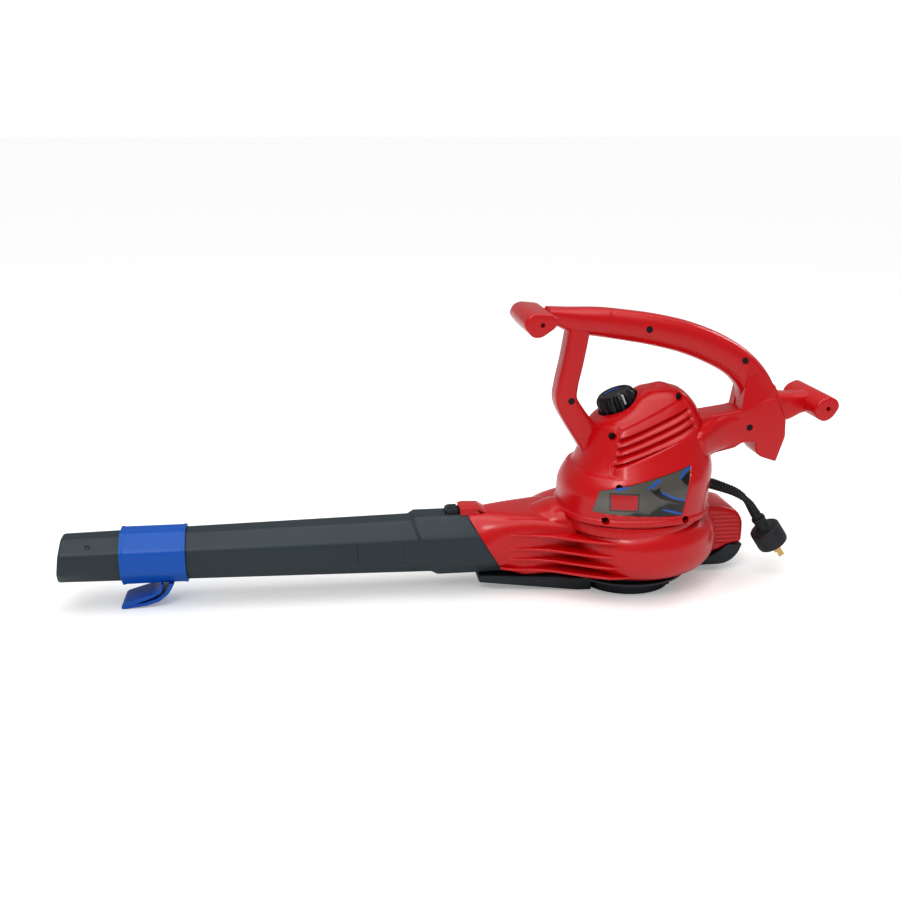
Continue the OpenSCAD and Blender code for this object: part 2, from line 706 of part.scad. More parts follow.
module half_space(s) { translate([-300, s < 0 ? -200 : 0, 0]) cube([700, 200, 400]); }

module shell_left() color([0.8, 0.03, 0.05]) difference() {
  intersection() {
    shell_body();
    half_space(-1);
  }
  screw_cuts();
}

module shell_right() color([0.8, 0.03, 0.05]) difference() {
  intersection() {
    shell_body();
    half_space(1);
  }
  screw_cuts();
}

module label_outline() { polygon([[-58, 100], [-48, 124], [53, 151], [41, 98]]); }

module label(s) {
  intersection() {
    difference() {
      dome(-0.9);
      dome(-seat);
    }
    slab(s * 70, 60) translate([0, lift]) label_outline();
  }
}

module label_left() color([0.35, 0.36, 0.34]) label(-1);
module label_right() color([0.35, 0.36, 0.34]) label(1);

module flush_screw(x, z, y0, y1, head) {
  y_cylinder(x, z, y0, y1, screw_r);
  y_cylinder(x, z, y0 - 2.4, y0, head);
}

module handle_screws() color([0.1, 0.1, 0.1])
  for (p = handle_screw_places()) flush_screw(p[0], p[1], -p[2] + 3.2, p[2] - 4, screw_head_r);

module housing_screws() color([0.1, 0.1, 0.1]) {
  for (p = dome_screw_places()) flush_screw(p[0], p[1], -p[2] + 12, 8, screw_head_r);
  flush_screw(low_screw[0], low_screw[1], low_screw_y, low_screw_y + 9, screw_head_r);
  for (p = base_screw_places()) translate([p[0], p[1], scroll_top - wall]) {
    cylinder(h = shell_z + 8 - scroll_top + wall, r = screw_r);
    translate([0, 0, -2.4]) cylinder(h = 2.4, r = screw_head_r);
  }
}

module volute_screws() color([0.1, 0.1, 0.1])
  for (p = volute_screw_places()) translate([p[0], p[1], flange_z - 2.2]) {
    cylinder(h = 2.2, r = screw_head_r);
    cylinder(h = 11, r = screw_r);
  }

// ---------- dial, switch and lead ----------

module speed_knob() color([0.07, 0.07, 0.08]) dial_frame() difference() {
  union() {
    cylinder(h = dial_h - 6, r = dial_r);
    translate([0, 0, dial_h - 6]) cylinder(h = 6, r1 = dial_r, r2 = dial_r - 4);
  }
  for (a = [15:30:345]) rotate([0, 0, a]) translate([dial_r + 2.4, 0, 3])
    cylinder(h = dial_h, r = 5);
  translate([0, 0, -1]) cylinder(h = 14, r = spindle_r + seat);
  rotate([0, 0, pointer_turn]) translate([-dial_r - 1, -1, dial_h - 12]) cube([12, 2, 20]);
}

module knob_pointer() color([0.75, 0.77, 0.78]) dial_frame() rotate([0, 0, pointer_turn])
  translate([-dial_r + 0.3, -0.95, dial_h - 11.9]) cube([10.6, 1.9, 11]);

module switch_spindle() color([0.9, 0.9, 0.85]) dial_frame()
  translate([0, 0, -6 + slip]) cylinder(h = 18.5, r = spindle_r);

module speed_switch() color([0.1, 0.1, 0.11]) dial_frame() {
  translate([-11, -11, -22]) cube([22, 22, 16]);
  for (y = [-7, 0, 7]) translate([10.5, y - 1, -19]) cube([5, 2, 6]);
}

module control_board() color([0.1, 0.35, 0.15]) translate([0, 0, lift]) {
  translate([22, -20, 183]) cube([34, 40, 1.6]);
  for (p = [[27, -12], [40, 6]]) translate([p[0], p[1], 184.6]) cube([8, 7, 9]);
  translate([46, -12, 184.6]) cylinder(h = 12, r = 4.5);
}

module mains_lead() color([0.1, 0.1, 0.1])
  swept_tube(lead_route, [for (p = lead_route) lead_r], 8);

module cord_clamp() color([0.2, 0.2, 0.21]) difference() {
  translate([72, -8, clamp_z]) cube([6, 16, 12]);
  translate([71, -lead_r - 0.2, clamp_z - 1]) cube([8, 2 * lead_r + 0.4, 9.6]);
}

module cord_relief() color([0.06, 0.06, 0.07])
  swept_tube(relief_route, [6.6, 6.4, 5.6, 5.2, 4.8], 12);

module power_cord() color([0.06, 0.06, 0.07])
  swept_tube(cord_route, [for (p = cord_route) cord_r], 10);

module plug_boot() color([0.06, 0.06, 0.07]) swept_tube(plug_boot_route, [4.6, 5, 5.6], 12);

module plug_frame() { translate([157, 0, 66.5]) rotate([0, plug_lean, 0]) children(); }

module plug_body() color([0.06, 0.07, 0.08]) plug_frame() {
  cylinder(h = 15, r = 8.3);
  translate([0, 0, 15]) cylinder(h = 25, r = plug_r);
}

module plug_blades() color("gold") plug_frame()
  for (s = [-1, 1]) translate([-3.2, s * 6.4 - 0.8, 40]) cube([6.4, 1.6, 15]);

// ---------- inlet interlock ----------

module interlock_switch() color([0.12, 0.12, 0.13])
  translate([rear_x0 + 14, plunger_y - 5, 10.6]) cube([18, 10, 5.6]);

module interlock_plunger() color([0.85, 0.85, 0.8]) {
  x0 = hinge_x + knuckle_r + slip;
  translate([x0, plunger_y, plunger_z]) along_x() cylinder(h = rear_x0 + 11.6 - x0, r = 1.6);
  translate([rear_x0 + 8, plunger_y, plunger_z]) along_x() cylinder(h = 1.2, r = 2.4);
}

module plunger_spring() color("silver") difference() {
  translate([rear_x0 + 11.4, plunger_y, plunger_z]) along_x() cylinder(h = 2.4, r = 2.4);
  translate([rear_x0 + 11, plunger_y, plunger_z]) along_x() cylinder(h = 4, r = 1.9);
}

// ---------- tube and clip ----------

module tube_outside() {
  along_tube() loft([eight_sided_ring(tube_tip_r, tip_x - 8),
                     eight_sided_ring(tube_back_r, step_x - 8),
                     eight_sided_ring(collar_r, step_x + 6),
                     eight_sided_ring(collar_r, mouth_x + 28)]);
}

module along_tube() { translate([0, 0, tube_z]) along_x() children(); }

module blow_tube() color([0.18, 0.22, 0.24]) {
  difference() {
    union() {
      difference() {
        intersection() {
          tube_outside();
          before_mouth(slip + 0.1);
        }
        translate([tip_x, 0, tube_z]) rotate([0, -tip_lean, 0])
          translate([-60, -60, -60]) cube([60, 120, 120]);
      }
      along_tube() translate([0, 0, mouth_x - 30])
        cylinder(h = spigot_end_x - mouth_x + 30, r = spigot_r);
    }
    difference() {
      along_tube() {
        translate([0, 0, tip_x - 20]) cylinder(h = 90, r = outlet_r);
        translate([0, 0, tip_x + 69]) cylinder(h = step_x - tip_x - 69, r1 = outlet_r, r2 = tube_back_r - 3);
        translate([0, 0, step_x - 0.1]) cylinder(h = 140, r = tube_back_r - 3);
      }
      latch_box();
    }
    latch_pocket();
  }
}

// Boss inside the collar that houses the thumb latch.
module latch_box() {
  translate([latch_x - 4, -latch_w / 2 - 3, tube_z + collar_r - 13]) cube([latch_len + 8, latch_w + 6, 12]);
}

module latch_pocket() {
  translate([latch_x - slip, -latch_w / 2 - slip, tube_z + collar_r - 10.5])
    cube([latch_len + 2 * slip, latch_w + 2 * slip, 20]);
  translate([latch_x + latch_len, -tongue_w / 2 - slip, tongue_z - latch_travel - 0.3])
    cube([18, tongue_w + 2 * slip, 10]);
}

module tube_latch() color([0.05, 0.05, 0.06]) {
  difference() {
    union() {
      translate([latch_x, -latch_w / 2, tube_z + collar_r - 5.5]) cube([latch_len, latch_w, 11]);
      translate([latch_x + latch_len - 1, -tongue_w / 2, tongue_z])
        cube([tongue_end_x - latch_x - latch_len + 1, tongue_w, 1.8]);
      translate([tongue_end_x - 3.5, -tongue_w / 2, tongue_z])
        cube([3.5, tongue_w, bridge_roof_z - tongue_z - slip]);
    }
    translate([latch_x - 1, -4, tube_z + collar_r + 3]) cube([8, 8, 5]);
  }
}

module latch_spring() color("silver") difference() {
  translate([latch_x + latch_len / 2, 0, tube_z + collar_r - 10.4]) cylinder(h = 4.8, r = 3.4);
  translate([latch_x + latch_len / 2, 0, tube_z + collar_r - 11]) cylinder(h = 6, r = 2.8);
}

function tube_r_at(x) = tube_tip_r + (tube_back_r - tube_tip_r) * (x - tip_x + 8) / (step_x - tip_x);

module scraper_clip() color([0, 0.33, 0.72]) {
  inner = tube_r_at(clip_x1) + slip;
  outer = inner + clip_wall;
  low = tube_z - outer;
  difference() {
    union() {
      along_tube() loft([eight_sided_ring(outer + 0.8, clip_x0), eight_sided_ring(outer, clip_x0 + 5),
                         eight_sided_ring(outer, clip_x1 - 5), eight_sided_ring(outer + 0.8, clip_x1)]);
      slab(0, foot_w) difference() {
        polygon([[clip_x1 - 14, low + 1], [clip_x1 - 21, 15], [clip_x1 - 31, 7], [clip_x1 - 44, 3],
                 [clip_x1 - 68, 0], [clip_x1 - 72, 0], [clip_x1 - 72, 3], [clip_x1 - 70, 6],
                 [clip_x1 - 38, 15.5], [clip_x1 - 31, 20], [clip_x1 - 29, low + 1]]);
        polygon([[clip_x1 - 18.5, low + 2], [clip_x1 - 25, 16], [clip_x1 - 34, 10],
                 [clip_x1 - 46, 6.4], [clip_x1 - 58, 5], [clip_x1 - 37, 12.2],
                 [clip_x1 - 28.5, 17.5], [clip_x1 - 25.5, low + 2]]);
      }
    }
    along_tube() loft([eight_sided_ring(inner, clip_x0 - 1), eight_sided_ring(inner, clip_x1 + 1)]);
  }
}

shell_left();
shell_right();
volute_upper();
volute_lower();
inlet_cover();
cover_pin();
impeller();
impeller_nut();
impeller_washer();
shredder_blade();
fan_spacer();
rotor_shaft();
armature_core();
armature_windings();
commutator();
cooling_fan();
stator_core();
field_coils();
lower_bearing();
upper_bearing();
bearing_retainer();
motor_base_bracket();
motor_top_bracket();
motor_mount_ring();
motor_screws();
brush_holders();
carbon_brushes();
brush_springs();
speed_knob();
knob_pointer();
switch_spindle();
speed_switch();
control_board();
mains_lead();
cord_clamp();
interlock_switch();
interlock_plunger();
plunger_spring();
cord_relief();
power_cord();
plug_boot();
plug_body();
plug_blades();
blow_tube();
tube_latch();
latch_spring();
scraper_clip();
label_left();
label_right();
handle_screws();
housing_screws();
volute_screws();
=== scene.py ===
"""Looks of a corded leaf blower and vacuum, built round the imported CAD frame.

Lengths inside the classes are in millimetres, in the frame's own axes: +X to the rear, the blower
tube along -X, +Z up. They become metres when a mesh is written.
"""

import json
import logging
import math
from dataclasses import dataclass
from enum import Enum
from typing import ClassVar

import bpy
import numpy as np
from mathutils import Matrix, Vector

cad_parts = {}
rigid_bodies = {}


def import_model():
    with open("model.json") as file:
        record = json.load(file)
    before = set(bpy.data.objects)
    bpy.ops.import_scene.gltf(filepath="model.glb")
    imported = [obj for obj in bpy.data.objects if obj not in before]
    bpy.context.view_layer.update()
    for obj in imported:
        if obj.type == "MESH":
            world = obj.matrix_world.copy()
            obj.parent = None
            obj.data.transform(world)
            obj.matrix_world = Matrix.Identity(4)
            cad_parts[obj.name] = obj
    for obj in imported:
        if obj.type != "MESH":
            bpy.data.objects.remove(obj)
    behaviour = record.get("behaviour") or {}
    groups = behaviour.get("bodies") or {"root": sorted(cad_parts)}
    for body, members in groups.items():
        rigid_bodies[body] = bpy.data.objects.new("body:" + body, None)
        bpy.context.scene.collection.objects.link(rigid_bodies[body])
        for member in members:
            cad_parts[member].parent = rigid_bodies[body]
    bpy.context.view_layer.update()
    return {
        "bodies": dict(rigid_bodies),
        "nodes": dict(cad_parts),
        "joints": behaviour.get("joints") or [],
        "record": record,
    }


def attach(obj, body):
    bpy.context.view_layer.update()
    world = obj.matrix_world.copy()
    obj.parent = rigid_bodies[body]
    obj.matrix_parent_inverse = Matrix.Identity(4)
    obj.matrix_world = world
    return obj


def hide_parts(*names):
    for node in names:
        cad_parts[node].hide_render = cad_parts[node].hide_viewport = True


LOG = logging.getLogger("leaf_blower")
MM = 0.001
TURN = 2 * math.pi
SHARP_ANGLE = math.radians(38)
VERY_FAR = 1e6

# Places that two sub-assemblies share, in millimetres and degrees.
TUBE_Z = 55.0
MOUTH_LEAN = 31.3
DIAL_AT = (-11.0, 0.0, 198.0)
DIAL_LEAN = -22.0

Spot = tuple[float, float, float]
Table = tuple[tuple[float, ...], ...]
Points = np.ndarray | list | tuple


class Side(Enum):
    """The two mirrored sides of the machine, as the sign of Y."""

    LEFT = -1
    RIGHT = 1


class Work(Enum):
    """What a tool shape does to a piece, as the boolean modifier names it."""

    JOIN = "UNION"
    CUT = "DIFFERENCE"


# ---------- arrays and curves ----------


def ease(value: np.ndarray, low: float, high: float) -> np.ndarray:
    """Smooth step: 0 below low, 1 above high, and 3t^2 - 2t^3 between them.

    Args:
        value: where the step is read.
        low: where it starts.
        high: where it ends.

    Returns:
        The step at each value.
    """
    t = np.clip((value - low) / (high - low), 0.0, 1.0)
    return t * t * (3 - 2 * t)


def turn_angles(count: int) -> np.ndarray:
    """Even angles round one turn, in radians, without the last that would double the first."""
    return np.linspace(0, TURN, count, endpoint=False)


def smooth_curve(points: Points, count: int) -> np.ndarray:
    """Catmull-Rom curve through points, cut evenly by length into count samples.

    Args:
        points: control points, one row each; columns past the first two ride along.
        count: how many samples.

    Returns:
        An array of count rows with the same columns.
    """
    p = np.asarray(points, float)
    ends = np.vstack([2 * p[0] - p[1], p, 2 * p[-1] - p[-2]])
    t = np.linspace(0, len(p) - 1, 40 * len(p))
    k = np.minimum(t.astype(int), len(p) - 2)
    u = (t - k)[:, None]
    a, b, c, d = ends[k], ends[k + 1], ends[k + 2], ends[k + 3]
    curve = 0.5 * (2 * b + (c - a) * u + (2 * a - 5 * b + 4 * c - d) * u**2 + (3 * b - a - 3 * c + d) * u**3)
    run = np.concatenate([[0], np.cumsum(np.linalg.norm(np.diff(curve[:, :2], axis=0), axis=1))])
    where = np.linspace(0, run[-1], count)
    return np.stack([np.interp(where, run, curve[:, i]) for i in range(curve.shape[1])], axis=1)


def oval(angle: np.ndarray, square: np.ndarray) -> tuple[np.ndarray, np.ndarray]:
    """Superellipse of half sizes one: each of cos and sin raised to 2 / square, with its sign kept.

    Args:
        angle: the parameter, in radians.
        square: 2 gives an ellipse, and more gives squarer corners.

    Returns:
        The two coordinates.
    """
    c, s = np.cos(angle), np.sin(angle)
    return np.sign(c) * np.abs(c) ** (2 / square), np.sign(s) * np.abs(s) ** (2 / square)


def rounded_outline(corners: Points, radius: float, steps: int = 7) -> np.ndarray:
    """Polygon whose corners are quadratic curves that start radius before each corner.

    Args:
        corners: the polygon's corners.
        radius: how far from a corner its curve starts, at most nearly half of the edge.
        steps: points on each corner's curve.

    Returns:
        The outline's points, anticlockwise.
    """
    p = np.asarray(corners, float)
    x, y = p[:, 0], p[:, 1]
    if np.sum(x * np.roll(y, -1) - y * np.roll(x, -1)) < 0:
        p = p[::-1]
    back, ahead = np.roll(p, 1, 0) - p, np.roll(p, -1, 0) - p
    back_len = np.linalg.norm(back, axis=1, keepdims=True)
    ahead_len = np.linalg.norm(ahead, axis=1, keepdims=True)
    reach = np.minimum(radius, 0.47 * np.minimum(back_len, ahead_len))
    a, b = p + back / back_len * reach, p + ahead / ahead_len * reach
    t = np.linspace(0, 1, steps)[None, :, None]
    curve = (1 - t) ** 2 * a[:, None] + 2 * t * (1 - t) * p[:, None] + t**2 * b[:, None]
    return curve.reshape(-1, 2)


def bend_radius(outline: np.ndarray) -> np.ndarray:
    """Radius of the bend at each point of an outline, very large where it is straight or hollow.

    The radius is the mean length of the two edges over the angle between them, and each point takes
    the least of itself and its two neighbours.

    Args:
        outline: anticlockwise points.

    Returns:
        One radius for each point.
    """
    edge = np.roll(outline, -1, 0) - outline
    length = np.linalg.norm(edge, axis=1)
    before = np.roll(edge, 1, 0)
    turn = np.arctan2(before[:, 0] * edge[:, 1] - before[:, 1] * edge[:, 0], (before * edge).sum(1))
    straight = 1e-4
    radius = (length + np.roll(length, 1)) / 2 / np.maximum(turn, straight)
    radius = np.where(turn > straight, radius, VERY_FAR)
    return np.minimum(radius, np.minimum(np.roll(radius, 1), np.roll(radius, -1)))


def prism(outline: np.ndarray, y0: float, y1: float) -> np.ndarray:
    """Two rings of a flat XZ outline, at two places along Y."""
    flat = np.stack([outline[:, 0], 0 * outline[:, 0], outline[:, 1]], axis=-1)
    return np.stack([flat + [0, y0, 0], flat + [0, y1, 0]])


def polygon_mask(x: np.ndarray, z: np.ndarray, corners: Points, soft: float) -> np.ndarray:
    """1 inside a polygon and 0 outside, with a smooth step of twice soft across its edge.

    The distance is the least to any side, and its sign comes from how many sides a level ray crosses.

    Args:
        x: first coordinate of each point.
        z: second coordinate of each point.
        corners: the polygon's corners.
        soft: half of the step's width.

    Returns:
        The mask, in the points' own shape.
    """
    near = np.full(x.shape, VERY_FAR)
    inside = np.zeros(x.shape, bool)
    ring = np.asarray(corners, float)
    for (ax, az), (bx, bz) in zip(ring, np.roll(ring, -1, 0)):
        span = (bx - ax) ** 2 + (bz - az) ** 2
        t = np.clip(((x - ax) * (bx - ax) + (z - az) * (bz - az)) / span, 0, 1)
        near = np.minimum(near, np.hypot(x - ax - t * (bx - ax), z - az - t * (bz - az)))
        if az != bz:
            inside ^= ((az > z) != (bz > z)) & (x < ax + (z - az) * (bx - ax) / (bz - az))
    return ease(np.where(inside, near, -near), -soft, soft)


def plate_rings(outline: np.ndarray, y0: float, y1: float, edge: float, steps: int = 5) -> np.ndarray:
    """A flat XZ outline given thickness along Y, with quarter-round edges of radius edge.

    At angle t of the quarter round the outline is pulled in by edge * (1 - sin t), and lies
    edge * (1 - cos t) inside the face.

    Args:
        outline: anticlockwise points in X and Z.
        y0: one face.
        y1: the other face.
        edge: radius of the rounded edge.
        steps: rings on each rounded edge.

    Returns:
        Rings, an array of shape (rings, points, 3).
    """
    along = np.roll(outline, -1, 0) - np.roll(outline, 1, 0)
    along /= np.linalg.norm(along, axis=1, keepdims=True)
    inward = np.stack([-along[:, 1], along[:, 0]], axis=1)
    inward *= np.minimum(1.0, 0.7 * bend_radius(outline) / edge)[:, None]
    t = np.linspace(0, math.pi / 2, steps)
    inset = edge * (1 - np.sin(t))
    depth = edge * (1 - np.cos(t))
    insets = np.concatenate([inset, inset[::-1]])
    ys = np.concatenate([y0 + depth, y1 - depth[::-1]])
    flat = outline[None] + inward[None] * insets[:, None, None]
    return np.stack([flat[..., 0], np.broadcast_to(ys[:, None], flat.shape[:2]), flat[..., 1]], axis=-1)


def bar_rings(path: np.ndarray, columns: int, relief: np.ndarray | None = None) -> np.ndarray:
    """A superellipse section carried along a path in the XZ plane, square to it.

    Args:
        path: rows of x, z, half height, half width and squareness.
        columns: points round the section.
        relief: how far each point is pulled in, or None.

    Returns:
        Rings, an array of shape (rows, columns, 3).
    """
    along = np.gradient(path[:, :2], axis=0)
    along /= np.linalg.norm(along, axis=1, keepdims=True)
    angle = turn_angles(columns)[None]
    wide, high = oval(angle, path[:, 4:5])
    pull = 0.0 if relief is None else relief
    wide, high = wide * (path[:, 3:4] - pull), high * (path[:, 2:3] - pull)
    x = path[:, 0:1] - along[:, 1:2] * high
    z = path[:, 1:2] + along[:, 0:1] * high
    return np.stack([x, wide, z], axis=-1)


def turned_rings(profile: Points, columns: int) -> np.ndarray:
    """A profile of radius and height turned round local Z.

    Args:
        profile: rows of radius and height.
        columns: points in a turn.

    Returns:
        Rings, an array of shape (rows, columns, 3).
    """
    angle = turn_angles(columns)[None]
    radius, height = np.asarray(profile, float)[:, :2, None].swapaxes(0, 1)
    return np.stack([radius * np.cos(angle), radius * np.sin(angle), height + 0 * angle], axis=-1)


def placed(rings: np.ndarray, origin: Spot, lean_deg: float) -> np.ndarray:
    """Rings turned about Y by lean_deg, which carries local Z towards +X, and moved to origin.

    Args:
        rings: points in local axes.
        origin: where the local origin goes.
        lean_deg: the turn about Y.

    Returns:
        The moved points.
    """
    a = math.radians(lean_deg)
    x, y, z = rings[..., 0], rings[..., 1], rings[..., 2]
    turned = np.stack([x * math.cos(a) + z * math.sin(a), y, z * math.cos(a) - x * math.sin(a)], axis=-1)
    return turned + np.asarray(origin, float)


def rod_along_y(x: float, z: float, y0: float, y1: float, radius: float, columns: int = 28) -> np.ndarray:
    """Rings of a plain rod along Y.

    Args:
        x: centre.
        z: centre.
        y0: one end.
        y1: other end.
        radius: its radius.
        columns: points in a turn.

    Returns:
        Two rings.
    """
    angle = turn_angles(columns)
    ring = np.stack([x + radius * np.cos(angle), 0 * angle, z + radius * np.sin(angle)], axis=-1)
    return np.stack([ring + [0, y0, 0], ring + [0, y1, 0]])


def box_rings(low: Spot, high: Spot) -> np.ndarray:
    """Two square rings of an upright box.

    Args:
        low: lowest corner.
        high: highest corner.

    Returns:
        Rings at the box's floor and top.
    """
    xs = [low[0], high[0], high[0], low[0]]
    ys = [low[1], low[1], high[1], high[1]]
    return np.stack([np.stack([xs, ys, [z] * 4], axis=-1) for z in (low[2], high[2])]).astype(float)


# ---------- meshes ----------


class Draft:
    """Closed shapes gathered for one mesh object."""

    def __init__(self, name: str) -> None:
        """Starts an empty draft.

        Args:
            name: the name of the object to be.
        """
        self.name = name
        self.points: list[np.ndarray] = []
        self.faces: list[list[int]] = []
        self.count = 0

    def loft(self, rings: np.ndarray, looped: bool = False) -> "Draft":
        """Adds a closed shape through rings: quads between neighbours, and a flat cap at each end.

        The faces are turned round where the shape's signed volume comes out negative.

        Args:
            rings: array of shape (rows, columns, 3).
            looped: the last ring joins the first, in place of the caps.

        Returns:
            The draft itself.
        """
        rows, columns = rings.shape[:2]
        index = np.arange(rows * columns).reshape(rows, columns)
        low, high = (index, np.roll(index, -1, 0)) if looped else (index[:-1], index[1:])
        quads = np.stack([low, np.roll(low, -1, 1), np.roll(high, -1, 1), high], axis=-1).reshape(-1, 4)
        flat = rings.reshape(-1, 3)
        middle = flat.mean(0)
        a, b, c, d = (flat[quads[:, i]] - middle for i in range(4))
        volume = np.einsum("ij,ij->", a, np.cross(b, c)) + np.einsum("ij,ij->", a, np.cross(c, d))
        caps = [] if looped else [index[0][::-1], index[-1]]
        for cap in caps:
            p = flat[cap] - middle
            volume += np.cross(p, np.roll(p, -1, 0)).sum(0) @ p.mean(0)
        if volume < 0:
            quads, caps = quads[:, ::-1], [cap[::-1] for cap in caps]
        self.faces += (quads + self.count).tolist() + [(cap + self.count).tolist() for cap in caps]
        self.points.append(flat)
        self.count += len(flat)
        return self

    def build(self) -> bpy.types.Object:
        """Writes the mesh in metres, lets Blender mend what is invalid, and shades it smooth.

        Returns:
            The object, linked to the scene.
        """
        mesh = bpy.data.meshes.new(self.name)
        mesh.from_pydata((np.vstack(self.points) * MM).tolist(), [], self.faces)
        mesh.validate()
        shade(mesh)
        return linked(self.name, mesh)


def linked(name: str, data: bpy.types.ID) -> bpy.types.Object:
    """Makes an object and links it to the scene.

    Args:
        name: the object's name.
        data: its mesh, light or camera.

    Returns:
        The object.
    """
    thing = bpy.data.objects.new(name, data)
    bpy.context.scene.collection.objects.link(thing)
    return thing


def shade(mesh: bpy.types.Mesh) -> None:
    """Smooth shading, with edges sharper than SHARP_ANGLE left crisp.

    Args:
        mesh: the mesh to shade.
    """
    mesh.polygons.foreach_set("use_smooth", np.ones(len(mesh.polygons), bool))
    mesh.set_sharp_from_angle(angle=SHARP_ANGLE)
    mesh.update()


def combine(piece: bpy.types.Object, tool: bpy.types.Object, work: Work) -> bpy.types.Object:
    """Joins or cuts piece with tool, keeps the result as piece's mesh, and removes the tool.

    Args:
        piece: the object that is kept.
        tool: the object that is used up.
        work: whether the tool is joined on or cuts.

    Returns:
        The kept object.
    """
    change = piece.modifiers.new("combine", "BOOLEAN")
    change.operation = work.value
    change.solver = "EXACT"
    change.object = tool
    graph = bpy.context.evaluated_depsgraph_get()
    result = bpy.data.meshes.new_from_object(piece.evaluated_get(graph))
    piece.modifiers.clear()
    before, name = piece.data, piece.data.name
    piece.data = result
    bpy.data.meshes.remove(before)
    result.name = name
    used = tool.data
    bpy.data.objects.remove(tool)
    bpy.data.meshes.remove(used)
    shade(result)
    return piece


def worked(piece: bpy.types.Object, work: Work, *shapes: np.ndarray) -> bpy.types.Object:
    """Joins or cuts piece with closed shapes, one after another.

    Args:
        piece: the object that is kept.
        work: whether the shapes are joined on or cut.
        shapes: the rings of each shape.

    Returns:
        The kept object.
    """
    for rings in shapes:
        combine(piece, Draft("tool").loft(rings).build(), work)
    return piece


# ---------- finishes ----------


def blank_material(name: str) -> tuple[bpy.types.Material, bpy.types.NodeTree, bpy.types.Node]:
    """A new material with nodes.

    Args:
        name: the material's name.

    Returns:
        The material, its node tree and its shader.
    """
    material = bpy.data.materials.new(name)
    material.use_nodes = True
    return material, material.node_tree, material.node_tree.nodes["Principled BSDF"]


def set_sockets(node: bpy.types.Node, values: dict[str, float | tuple]) -> None:
    """Sets a node's input sockets by name."""
    for name, value in values.items():
        node.inputs[name].default_value = value


@dataclass(frozen=True)
class Plastic:
    """A moulded or metal finish: one colour with mottle, fine grain and uneven gloss.

    Grain, clouds and smears are noise scales per metre, and depth is the grain's height in millimetres.
    """

    name: str
    colour: Spot
    roughness: float
    grain: float = 900.0
    depth: float = 0.03
    mottle: float = 0.08
    uneven: float = 0.06
    coat: float = 0.0
    coat_roughness: float = 0.12
    metallic: float = 0.0
    clouds: float = 14.0
    smears: float = 55.0

    def material(self) -> bpy.types.Material:
        """Builds the node material: noise on Object coordinates drives tint, gloss and bump.

        Returns:
            The material.
        """
        material, tree, shader = blank_material(self.name)
        set_sockets(shader, {"Metallic": self.metallic, "Coat Weight": self.coat,
                             "Coat Roughness": self.coat_roughness})
        where = tree.nodes.new("ShaderNodeTexCoord")
        tint = tree.nodes.new("ShaderNodeMix")
        tint.data_type = "RGBA"
        tint.inputs["A"].default_value = (*[c * (1 - self.mottle) for c in self.colour], 1)
        tint.inputs["B"].default_value = (*[min(c * (1 + self.mottle), 1) for c in self.colour], 1)
        self._noise(tree, where, self.clouds, 3.0, tint.inputs["Factor"])
        tree.links.new(tint.outputs["Result"], shader.inputs["Base Color"])
        gloss = tree.nodes.new("ShaderNodeMapRange")
        set_sockets(gloss, {"To Min": self.roughness - self.uneven, "To Max": self.roughness + self.uneven})
        self._noise(tree, where, self.smears, 4.0, gloss.inputs["Value"])
        tree.links.new(gloss.outputs["Result"], shader.inputs["Roughness"])
        bump = tree.nodes.new("ShaderNodeBump")
        set_sockets(bump, {"Strength": 1.0, "Distance": self.depth * MM})
        self._noise(tree, where, self.grain, 2.0, bump.inputs["Height"])
        tree.links.new(bump.outputs["Normal"], shader.inputs["Normal"])
        return material

    @staticmethod
    def _noise(tree: bpy.types.NodeTree, where: bpy.types.Node, scale: float, detail: float,
               socket: bpy.types.NodeSocket) -> None:
        """Leads a noise texture on Object coordinates into a socket.

        Args:
            tree: the material's nodes and links.
            where: the texture coordinate node.
            scale: how many blotches there are in a metre.
            detail: how many finer layers the noise has.
            socket: the input that it drives.
        """
        noise = tree.nodes.new("ShaderNodeTexNoise")
        set_sockets(noise, {"Scale": scale, "Detail": detail})
        tree.links.new(where.outputs["Object"], noise.inputs["Vector"])
        tree.links.new(noise.outputs["Fac"], socket)


@dataclass(frozen=True)
class PrintedFilm:
    """The side panels' film: warm grey, with dark printed swooshes edged in blue and a painted shade along
    the bottom edge, from the mesh's own masks.
    """

    name: str = "printed_film"
    grey: Spot = (0.105, 0.1, 0.085)
    pale: Spot = (0.26, 0.25, 0.22)
    # Dark colour of the printed swooshes, and also of the painted shade along the bottom edge.
    dark: Spot = (0.008, 0.008, 0.009)
    blue: Spot = (0.01, 0.12, 0.55)
    red: Spot = (0.55, 0.012, 0.018)
    roughness: float = 0.3
    coat: float = 0.4
    coat_roughness: float = 0.1

    def material(self) -> bpy.types.Material:
        """Mixes the colours in turn by four float attributes: a pale glow, the dark print together with the
        painted shade along the bottom edge, the blue lines and the red patch.

        Returns:
            The material.
        """
        material, tree, shader = blank_material(self.name)
        set_sockets(shader, {"Roughness": self.roughness, "Coat Weight": self.coat,
                             "Coat Roughness": self.coat_roughness})
        last = None
        # The dark mask carries the print and the painted shade along the bottom edge together.
        mask_colours = {"glow": self.pale, "ink_and_shade": self.dark, "line": self.blue, "patch": self.red}
        for mask, colour in mask_colours.items():
            read = tree.nodes.new("ShaderNodeAttribute")
            read.attribute_name = mask
            mix = tree.nodes.new("ShaderNodeMix")
            mix.data_type = "RGBA"
            mix.inputs["A"].default_value = (*self.grey, 1)
            mix.inputs["B"].default_value = (*colour, 1)
            tree.links.new(read.outputs["Fac"], mix.inputs["Factor"])
            if last is not None:
                tree.links.new(last.outputs["Result"], mix.inputs["A"])
            last = mix
        tree.links.new(last.outputs["Result"], shader.inputs["Base Color"])
        return material


